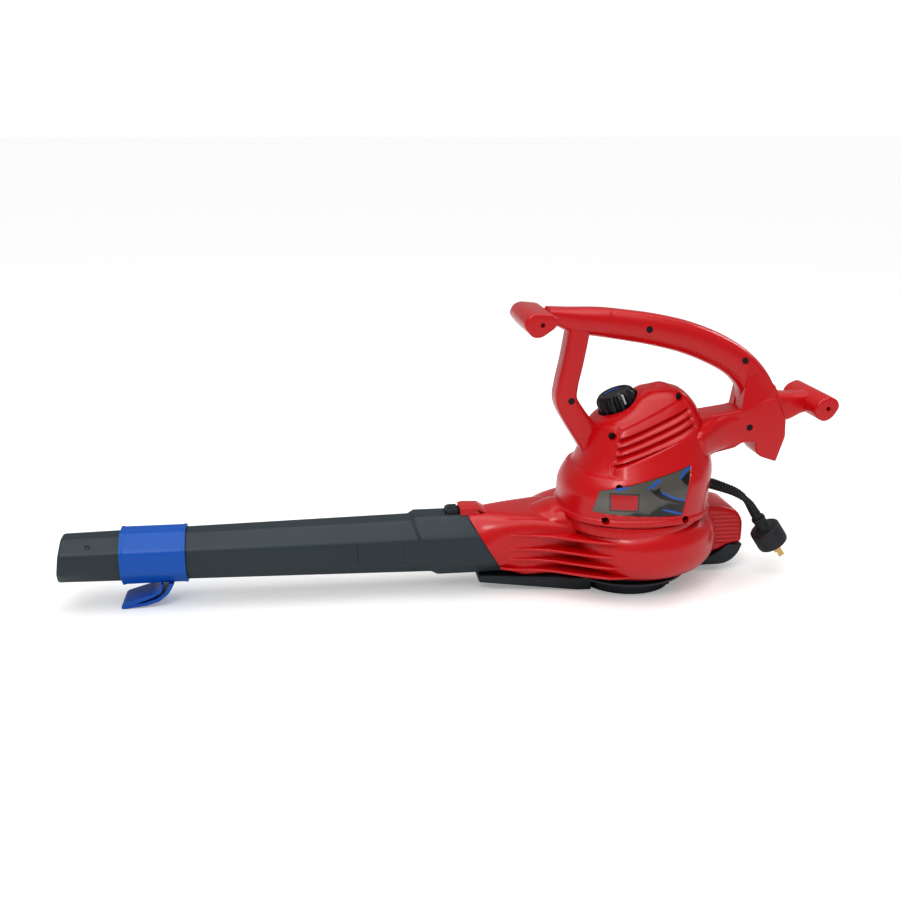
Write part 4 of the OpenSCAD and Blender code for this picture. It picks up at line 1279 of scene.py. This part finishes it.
    def _film_masks(self, x: np.ndarray, z: np.ndarray) -> dict[str, np.ndarray]:
        """Masks of the panel's print and of its painted bottom shade over the side view, each from 0 to 1.

        Args:
            x: along the machine.
            z: above the ground.

        Returns:
            The masks by attribute name.
        """
        # The last dark shape is painted shade along the panel's bottom edge; the first two are printed.
        dark_shapes = ((self.swoosh, 0.7), (self.corner, 0.9), (self.painted_bottom_shade, 2.2))
        ink_and_shade = sum(polygon_mask(x, z, shape, soft) for shape, soft in dark_shapes)
        line = np.zeros_like(x)
        for stroke in self.strokes:
            line = np.maximum(line, np.clip(2 * polygon_mask(x, z, stroke, 0.8), 0, 1))
        glow = np.clip(1 - np.hypot((x + 36) / 40, (z - 116) / 22), 0, 1) * 0.5
        patch = polygon_mask(x, z, self._box(*self.patch, 0.0), 1.0)
        edge = polygon_mask(x, z, self._box(*self.patch, self.patch_edge), 0.8)
        # The dark mask holds the printed swooshes, the patch's border and the painted bottom shade.
        ink_and_shade = np.clip(np.maximum(ink_and_shade, edge * 0.7), 0, 1) * (1 - patch)
        return {"glow": glow, "ink_and_shade": ink_and_shade, "line": line * (1 - edge), "patch": patch}

    def build(self, paint: Paintbox) -> None:
        """Lofts the skin, adds the dial collar, cuts the dial's pocket and the screw wells, adds the films.

        Args:
            paint: the materials.
        """
        hood = Draft("motor_hood").loft(self.skin()).build()
        worked(hood, Work.JOIN, placed(turned_rings(self.collar, 96), DIAL_AT, DIAL_LEAN))
        pocket = turned_rings(((24.0, -1.1), (24.0, 70)), 96)
        worked(hood, Work.CUT, placed(pocket, DIAL_AT, DIAL_LEAN))
        cutters = Draft("well_cutters")
        for x, z, y, side in self.wells:
            cutters.loft(rod_along_y(x, z, y, side * 100, self.well_radius))
        combine(hood, cutters.build(), Work.CUT)
        paint.dress(hood, RED, "root", "red_plastic", "shell_left", "shell_right")
        for side in Side:
            self.panel_film(side, paint)


# ---------- handle ----------


@dataclass
class Handle:
    """Grip, front strut, rear arm, stem and the two lead hooks, in millimetres.

    A bar's table has rows of x, z, half height, half width and squareness, and a plate's has x and z.
    """

    grip: Table = ((-98, 309, 7.5, 15.5, 3.2), (-84, 305.5, 10.5, 16, 3), (-66, 301.5, 14, 16.6, 2.7),
                   (-40, 299, 15.8, 17, 2.4), (-12, 295, 16.6, 17, 2.3), (20, 289.5, 17.2, 17, 2.3),
                   (56, 280.5, 17.6, 17, 2.3), (90, 267, 17.8, 17, 2.35), (117, 251, 17.6, 17, 2.5),
                   (135, 232, 18.4, 17, 3), (143, 212, 21.5, 17.4, 3.6), (145, 192, 24, 18, 4))
    ribbed: tuple[float, float] = (66.0, 241.0)
    rib_pitch: float = 4.0
    rib_depth: float = 0.42
    strut: Table = ((-62, 302, 12, 14.6, 5), (-65, 282, 12, 14.8, 5), (-69.5, 256, 11.8, 15, 5),
                    (-74.5, 232, 11.8, 15, 5), (-75.5, 215, 12.4, 15, 5), (-67.5, 199, 13, 15, 5),
                    (-54, 179, 14, 15, 5), (-40, 158, 15, 15, 5))
    stem: Table = ((160, 199, 17, 16.5, 4), (176, 200, 15.5, 16, 4), (190, 203, 12, 15.5, 4),
                   (204, 205, 10.5, 15, 4))
    arm: Table = ((44, 184), (76, 193.5), (113, 198.6), (130, 203), (148, 211), (161, 213), (173, 189),
                  (174, 168), (165, 139), (146, 145.6), (140.5, 152), (139.5, 162.5), (124, 162.5),
                  (116, 157), (92, 151.5), (84, 145.5), (44, 136))
    pillar: Table = ((128, 256, 15.8), (119.6, 196, 19.8), (167, 206, 19.8), (158, 226, 18.4))
    root: Table = ((60, 165, 17, 43, 4), (70, 168, 18, 45.5, 4), (80, 170.5, 18.5, 39, 4),
                   (92, 173.5, 19.4, 30.5, 4), (105, 176.5, 20.4, 23.6, 4.5), (122, 179.5, 19.5, 20.1, 5))
    front_hook: Table = ((-131.4, 304), (-126, 313.4), (-119, 316.4), (-99.5, 314.4), (-93.4, 309),
                         (-96.4, 301), (-111.6, 290.5), (-121, 290.5))
    rear_hook: Table = ((193.4, 205), (198, 213.6), (211, 219.4), (220.4, 213.4), (222.4, 206),
                        (215.4, 194.6), (206, 189.6), (196, 195))
    hook_half: float = 45.0
    hook_holes: Table = ((-111, 304), (209, 205))
    hole_radius: float = 2.5
    screws: Table = ((12, 292, 17), (122, 255, 17), (-71, 215, 15), (131, 180, 20))
    well_radius: float = 3.7

    def _grip(self) -> np.ndarray:
        """The grip with its rubbed diagonal ribs: a cosine of length plus height, only on the flanks.

        Returns:
            Rings along the grip.
        """
        path = smooth_curve(self.grip, 380)
        columns = 96
        step = np.linalg.norm(np.diff(path[:, :2], axis=0), axis=1)
        run = np.concatenate([[0], np.cumsum(step)])[:, None]
        height = np.sin(turn_angles(columns)[None]) * path[:, 2:3]
        first, last = self.ribbed
        zone = ease(run, first, first + 3) * (1 - ease(run, last - 5, last))
        zone = zone * ease(14.0 - np.abs(height), 0.0, 1.2)
        wave = 0.5 + 0.5 * np.cos(TURN * (run + 1.1 * height) / self.rib_pitch)
        return bar_rings(path, columns, zone * (self.rib_depth * wave + 0.2))

    def _pillar(self, side: Side) -> np.ndarray:
        """The flared wedge at the pillar's foot, which stands out at its base.

        Args:
            side: which flank.

        Returns:
            Its inner and outer outline as two rings.
        """
        outer = np.array(self.pillar, float)
        inner = outer * [1, 1, 0] + [0, 0, 6.0]
        return np.stack([outline[:, [0, 2, 1]] * [1, side.value, 1] for outline in (inner, outer)])

    def _hook(self, name: str, outline: Table, hole: tuple[float, float]) -> bpy.types.Object:
        """A bar across the machine with rounded ends, and a blind hole in each end.

        Args:
            name: the piece's name.
            outline: its corners in the side view.
            hole: where the holes are in the side view.

        Returns:
            The hook.
        """
        bar = plate_rings(rounded_outline(outline, 5), -self.hook_half, self.hook_half, 2.6, 7)
        holes = Draft("hole_cutters")
        for side in Side:
            ends = sorted((side.value * (self.hook_half - 7), side.value * (self.hook_half + 5)))
            holes.loft(rod_along_y(*hole, *ends, self.hole_radius))
        return combine(Draft(name).loft(bar).build(), holes.build(), Work.CUT)

    @staticmethod
    def _bar(name: str, path: Table, rows: int, columns: int) -> bpy.types.Object:
        """One member: a section carried along the smooth curve through the path's rows."""
        return Draft(name).loft(bar_rings(smooth_curve(path, rows), columns)).build()

    def build(self, paint: Paintbox) -> None:
        """Builds each member, joins the pillar's wedges to the arm, and cuts the screw wells.

        Args:
            paint: the materials.
        """
        grip = Draft("grip").loft(self._grip()).build()
        strut = self._bar("front_strut", self.strut, 110, 72)
        arm = Draft("rear_arm").loft(plate_rings(rounded_outline(self.arm, 3), -20, 20, 2.4)).build()
        root = self._bar("arm_root", self.root, 60, 88)
        wedges = Draft("pillar")
        for side in Side:
            wedges.loft(self._pillar(side))
        combine(arm, wedges.build(), Work.JOIN)
        stem = self._bar("hook_stem", self.stem, 40, 64)
        hooks = [self._hook("front_hook", self.front_hook, self.hook_holes[0]),
                 self._hook("rear_hook", self.rear_hook, self.hook_holes[1])]
        for piece, (x, z, y) in zip((grip, grip, strut, arm), self.screws):
            worked(piece, Work.CUT, rod_along_y(x, z, -y - 6, -y + 3, self.well_radius))
        for piece in (grip, strut, root, arm, stem, *hooks):
            paint.dress(piece, RED, "root", "red_plastic")


# ---------- dial ----------


@dataclass
class SpeedDial:
    """The fluted speed dial, in millimetres, in its own leaning axes."""

    radius: float = 22.5
    flutes: int = 14
    flute_depth: float = 4.0
    flute_share: float = 0.62
    profile: Table = ((0, 0), (21.4, 0), (22.4, 0.6), (22.4, 3), (22.4, 17.5), (21.9, 19.6),
                      (20.4, 22.2), (18.2, 24.2), (16.2, 24.9), (14.6, 24.6), (13.6, 23.6), (0, 23.4))
    mark: tuple[float, float, float, float] = (9.5, 12.3, 23.2, 23.95)
    mark_sweep: tuple[float, float] = (40.0, 140.0)

    def _knob(self) -> np.ndarray:
        """The knob's profile in a turn, pulled in by a half-round flute between each pair of lobes.

        Returns:
            Rings in the dial's own axes.
        """
        profile = np.array(self.profile, float)
        rows = np.arange(len(profile))
        t = np.linspace(0, rows[-1], 90)[1:]
        fine = np.stack([np.interp(t, rows, profile[:, i]) for i in (0, 1)], axis=1)
        columns = 288
        wave = np.abs(((turn_angles(columns)[None] / TURN * self.flutes + 0.5) % 1) - 0.5) * 2
        flute = np.sqrt(np.clip(1 - (wave / self.flute_share) ** 2, 0, 1))
        radius, height = fine[:, 0:1], fine[:, 1:2]
        reach = ease(height, 2.6, 4.2) * (1 - ease(height, 22.6, 24.3)) * ease(radius, 15, 17)
        rings = turned_rings(fine, columns)
        rings[..., :2] *= (1 - self.flute_depth * flute * reach / self.radius)[..., None]
        return rings

    def _mark(self) -> np.ndarray:
        """The coloured arc on the dial's face: a box section carried along an arc.

        Returns:
            Rings in the dial's own axes.
        """
        inner, outer, low, high = self.mark
        sweep = np.radians(np.linspace(*self.mark_sweep, 30))[:, None]
        radius = np.array([[inner, outer, outer, inner]])
        level = np.array([[low, low, high, high]]) + 0 * sweep
        return np.stack([radius * np.cos(sweep), radius * np.sin(sweep), level], axis=-1)

    def build(self, paint: Paintbox) -> None:
        """Builds the knob and its mark where the dial leans.

        Args:
            paint: the materials.
        """
        knob = Draft("dial_knob").loft(placed(self._knob(), DIAL_AT, DIAL_LEAN)).build()
        paint.dress(knob, BLACK, "dial", "black_plastic", "speed_knob")
        mark = Draft("dial_mark").loft(placed(self._mark(), DIAL_AT, DIAL_LEAN)).build()
        paint.dress(mark, BLUE, "dial", "blue_plastic")


# ---------- tube and clip ----------


def soft_octagon(angle: np.ndarray, power: float) -> np.ndarray:
    """Radius of a rounded octagon of inner radius one: the inverse p-norm of its face distances.

    Args:
        angle: where it is read.
        power: how crisp the corners are.

    Returns:
        The radius at each angle.
    """
    faces = np.abs(np.cos(angle[..., None] - np.arange(4) * math.pi / 4))
    return (faces**power).sum(-1) ** (-1 / power)


@dataclass
class BlowTube:
    """The tapered tube with collar, spigot and blank badge recess, in millimetres."""

    tip: float = -624.3
    tip_lean: float = 7.7
    step: float = -246.0
    mouth: float = -164.1
    spigot_end: float = -128.2
    spigot_radius: float = 33.0
    spigot_bore: float = 28.3
    tip_radius: float = 25.0
    back_radius: float = 31.2
    collar_radius: float = 34.9
    bore: float = 22.0
    columns: int = 192
    badge: tuple[float, float, float, float] = (-307.0, -256.0, 41.0, 66.5)
    badge_depth: float = 0.9
    tip_mark: tuple[float, float, float] = (-594.0, 2.4, 1.6)
    pockets: tuple[tuple[Spot, Spot], ...] = (((-208.4, -10.4, 84.2), (-192.7, 10.4, 100)),
                                              ((-194.3, -8.4, 88.2), (-150, 8.4, 100.5)))
    latch_side: Table = ((-207.9, 88), (-207.9, 93.4), (-203, 95.3), (-195, 95.3), (-193.1, 93),
                         (-193.1, 88))

    def _radius(self, x: np.ndarray, angle: np.ndarray) -> np.ndarray:
        """A soft octagon whose radius tapers, and steps up at a bowed collar line.

        The collar's front line lies further back low on the flanks, so the step reads as an arc.

        Args:
            x: along the tube.
            angle: round the tube.

        Returns:
            The radius at each point.
        """
        bow = 13.0 * (1 - np.sin(angle))
        slope = (self.back_radius - self.tip_radius) / (self.step - self.tip)
        radius = np.minimum(self.tip_radius + slope * (x - self.tip), self.back_radius + 0.6)
        grown = ease(x - bow, self.step - 5, self.step + 4)
        return (radius + (self.collar_radius - radius) * grown) * soft_octagon(angle, 22.0)

    def _dent(self, x: np.ndarray, angle: np.ndarray, high: np.ndarray) -> np.ndarray:
        """Depth of the blank badge recess on the left flank, the round mark near the tip, and the lip.

        Args:
            x: along the tube.
            angle: round the tube.
            high: height above the ground.

        Returns:
            The depth at each point.
        """
        x0, x1, z0, z1 = self.badge
        inside = np.minimum(np.minimum(x - x0, x1 - x), np.minimum(high - z0, z1 - high))
        badge = self.badge_depth * ease(inside, -0.4, 0.4) * (np.cos(angle) < 0)
        mark_x, mark_angle, mark_depth = self.tip_mark
        away = np.maximum(np.abs(x - mark_x), self.tip_radius * np.abs(angle - mark_angle))
        lip = 0.8 * (1 - ease(x, self.tip, self.tip + 1.4))
        return badge + mark_depth * (1 - ease(away, 1.7, 2.9)) + lip

    def _outside(self) -> np.ndarray:
        """Outer rings from tip to mouth, whose slant fades out behind the tip and grows to the mouth.

        Returns:
            The rings.
        """
        x = np.concatenate([np.linspace(self.tip, -330, 150), np.linspace(-329, self.mouth, 230)])[:, None]
        angle = turn_angles(self.columns)[None]
        radius = self._radius(x, angle)
        radius = radius - self._dent(x, angle, TUBE_Z + radius * np.sin(angle))
        slant = -np.tan(math.radians(self.tip_lean)) * (1 - ease(x, self.tip, -560))
        slant = slant + np.tan(math.radians(MOUTH_LEAN)) * ease(x, -222, -176)
        z = radius * np.sin(angle)
        return np.stack([x - z * slant, radius * np.cos(angle), TUBE_Z + z], axis=-1)

    def _ring(self, x: float, radius: float, lean: float = 0.0) -> np.ndarray:
        """One round ring, slanted from upright.

        Args:
            x: where it stands.
            radius: its radius.
            lean: its slant in degrees.

        Returns:
            The ring, as an array of one row.
        """
        angle = turn_angles(self.columns)
        z = radius * np.sin(angle)
        slanted = x - z * math.tan(math.radians(lean))
        return np.stack([slanted, radius * np.cos(angle), TUBE_Z + z], axis=-1)[None]

    def _latch(self) -> Draft:
        """The thumb latch: a rounded block with four grip ribs and a tongue behind it.

        Returns:
            The latch.
        """
        latch = Draft("thumb_latch").loft(plate_rings(rounded_outline(self.latch_side, 1.8), -9.9, 9.9, 1.4))
        for k in range(4):
            x = -205.6 + 2.9 * k
            rib = rounded_outline([(x, 94.2), (x + 1.4, 94.2), (x + 1.4, 95.9), (x, 95.9)], 0.5)
            latch.loft(plate_rings(rib, -7, 7, 0.4))
        return latch.loft(box_rings((-194, -7.9, 91.6), (-182.1, 7.9, 93.3)))

    def build(self, paint: Paintbox) -> None:
        """Closes the outside, the spigot and the bore into one tube, and cuts the latch's pocket.

        Args:
            paint: the materials.
        """
        rings = np.concatenate([
            self._outside(),
            self._ring(self.mouth, self.spigot_radius, MOUTH_LEAN),
            self._ring(self.mouth + 24, self.spigot_radius),
            self._ring(self.spigot_end - 1, self.spigot_radius),
            self._ring(self.spigot_end, self.spigot_radius - 0.7),
            self._ring(self.spigot_end, self.spigot_bore),
            self._ring(self.step, self.spigot_bore),
            self._ring(self.tip + 70, self.bore),
            self._ring(self.tip, self.bore, -self.tip_lean),
        ])
        tube = Draft("blower_tube").loft(rings, looped=True).build()
        worked(tube, Work.CUT, *(box_rings(low, high) for low, high in self.pockets))
        paint.dress(tube, TUBE, "tube", "tube_plastic", "blow_tube")
        paint.dress(self._latch().build(), BLACK, "latch", "black_plastic", "tube_latch")


@dataclass
class ScraperClip:
    """The blue sliding sleeve with its folded scraper foot, in millimetres.

    The foot's tables give x from the sleeve's rear edge and height above the ground. Two more corners
    on the sleeve's underside close each outline.
    """

    front: float = -559.4
    rear: float = -490.6
    inner: float = 27.6
    wall: float = 2.0
    flare: float = 0.6
    foot_half: float = 20.0
    foot: Table = ((-21, 15), (-31, 7), (-44, 3), (-67, 0.1), (-71.8, 0.4), (-71.5, 4), (-69, 6.5),
                   (-38, 15.5), (-31, 20))
    hollow: Table = ((-25, 16), (-34, 10), (-46, 6.4), (-58, 5), (-37, 12.2), (-28.5, 17.5))

    def _sleeve(self) -> Draft:
        """Soft octagons in and out, with the outer one flared by smooth steps at both edges.

        Returns:
            The sleeve.
        """
        length = self.rear - self.front
        run = np.linspace(0, length, 70)[:, None]
        angle = turn_angles(160)[None]
        flare = self.flare * (1 - ease(run, 1.5, 4) + ease(run, length - 4, length - 1.5))
        octagon = soft_octagon(angle, 26.0)
        x = self.front + run + 0 * angle
        outer, inner = (np.stack([x, r * np.cos(angle), TUBE_Z + r * np.sin(angle)], axis=-1)
                        for r in ((self.inner + self.wall + flare) * octagon, self.inner * octagon + 0 * run))
        return Draft("sliding_sleeve").loft(np.concatenate([outer, inner[::-1]]), looped=True)

    def build(self, paint: Paintbox) -> None:
        """Builds the sleeve, and the hooked foot as a plate with a hollow cut through it.

        Args:
            paint: the materials.
        """
        low = TUBE_Z - self.inner - self.wall
        outline = [(-14, low + 1.5), *self.foot, (-29, low + 1.5)]
        hollow = [(-18.5, low + 3), *self.hollow, (-25.5, low + 3)]
        rings = plate_rings(rounded_outline(outline, 2.5), -self.foot_half, self.foot_half, 0.9)
        foot = Draft("scraper_foot").loft(rings + [self.rear, 0, 0]).build()
        worked(foot, Work.CUT, prism(rounded_outline(hollow, 1), -30, 30) + [self.rear, 0, 0])
        paint.dress(self._sleeve().build(), BLUE, "clip", "blue_plastic", "scraper_clip")
        paint.dress(foot, BLUE, "clip", "blue_plastic")


# ---------- parts that keep their CAD shape ----------


@dataclass
class InnerWorks:
    """Finishes for the CAD nodes that are shown as they are."""

    frame: dict
    FINISHES: ClassVar[dict[str, Plastic]] = {
        "steel": STEEL, "lamination": SHEET, "cast_bracket": CAST, "copper": COPPER, "brass": BRASS,
        "white_plastic": WHITE, "pointer_grey": GREY, "board_green": BOARD, "screw_black": SCREW,
        "black_plastic": BLACK, "fan_plastic": SLATE, "black_rubber": RUBBER, "dark_plastic": SLATE,
        "tube_plastic": TUBE, "blue_plastic": BLUE, "red_plastic": RED, "label_print": GREY,
    }

    def build(self, paint: Paintbox) -> None:
        """Puts each shown node's finish into its material slots, by the record's slot for that node.

        Args:
            paint: the materials.
        """
        for row in self.frame["record"]["subparts"]:
            node = self.frame["nodes"].get(row["node"])
            if node is None or node.hide_render:
                continue
            material = paint.get(self.FINISHES[row["material_slot"]])
            if not node.material_slots:
                node.data.materials.append(material)
            for slot in node.material_slots:
                slot.material = material
            LOG.info("%s finished as %s", node.name, material.name)


def main(frame: dict) -> None:
    """Builds the studio and every sub-assembly in order, and logs each piece.
    """
    logging.basicConfig(level=logging.INFO, format="%(message)s")
    paint = Paintbox()
    Studio().build()
    for assembly in (MainsPigtail(frame), FanHousing(), LowerHousing(), InletCover(), MotorHood(),
                     Handle(), SpeedDial(), BlowTube(), ScraperClip(), InnerWorks(frame)):
        LOG.info("building %s", type(assembly).__name__)
        assembly.build(paint)


if __name__ == "__main__":
    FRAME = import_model()
    main(FRAME)
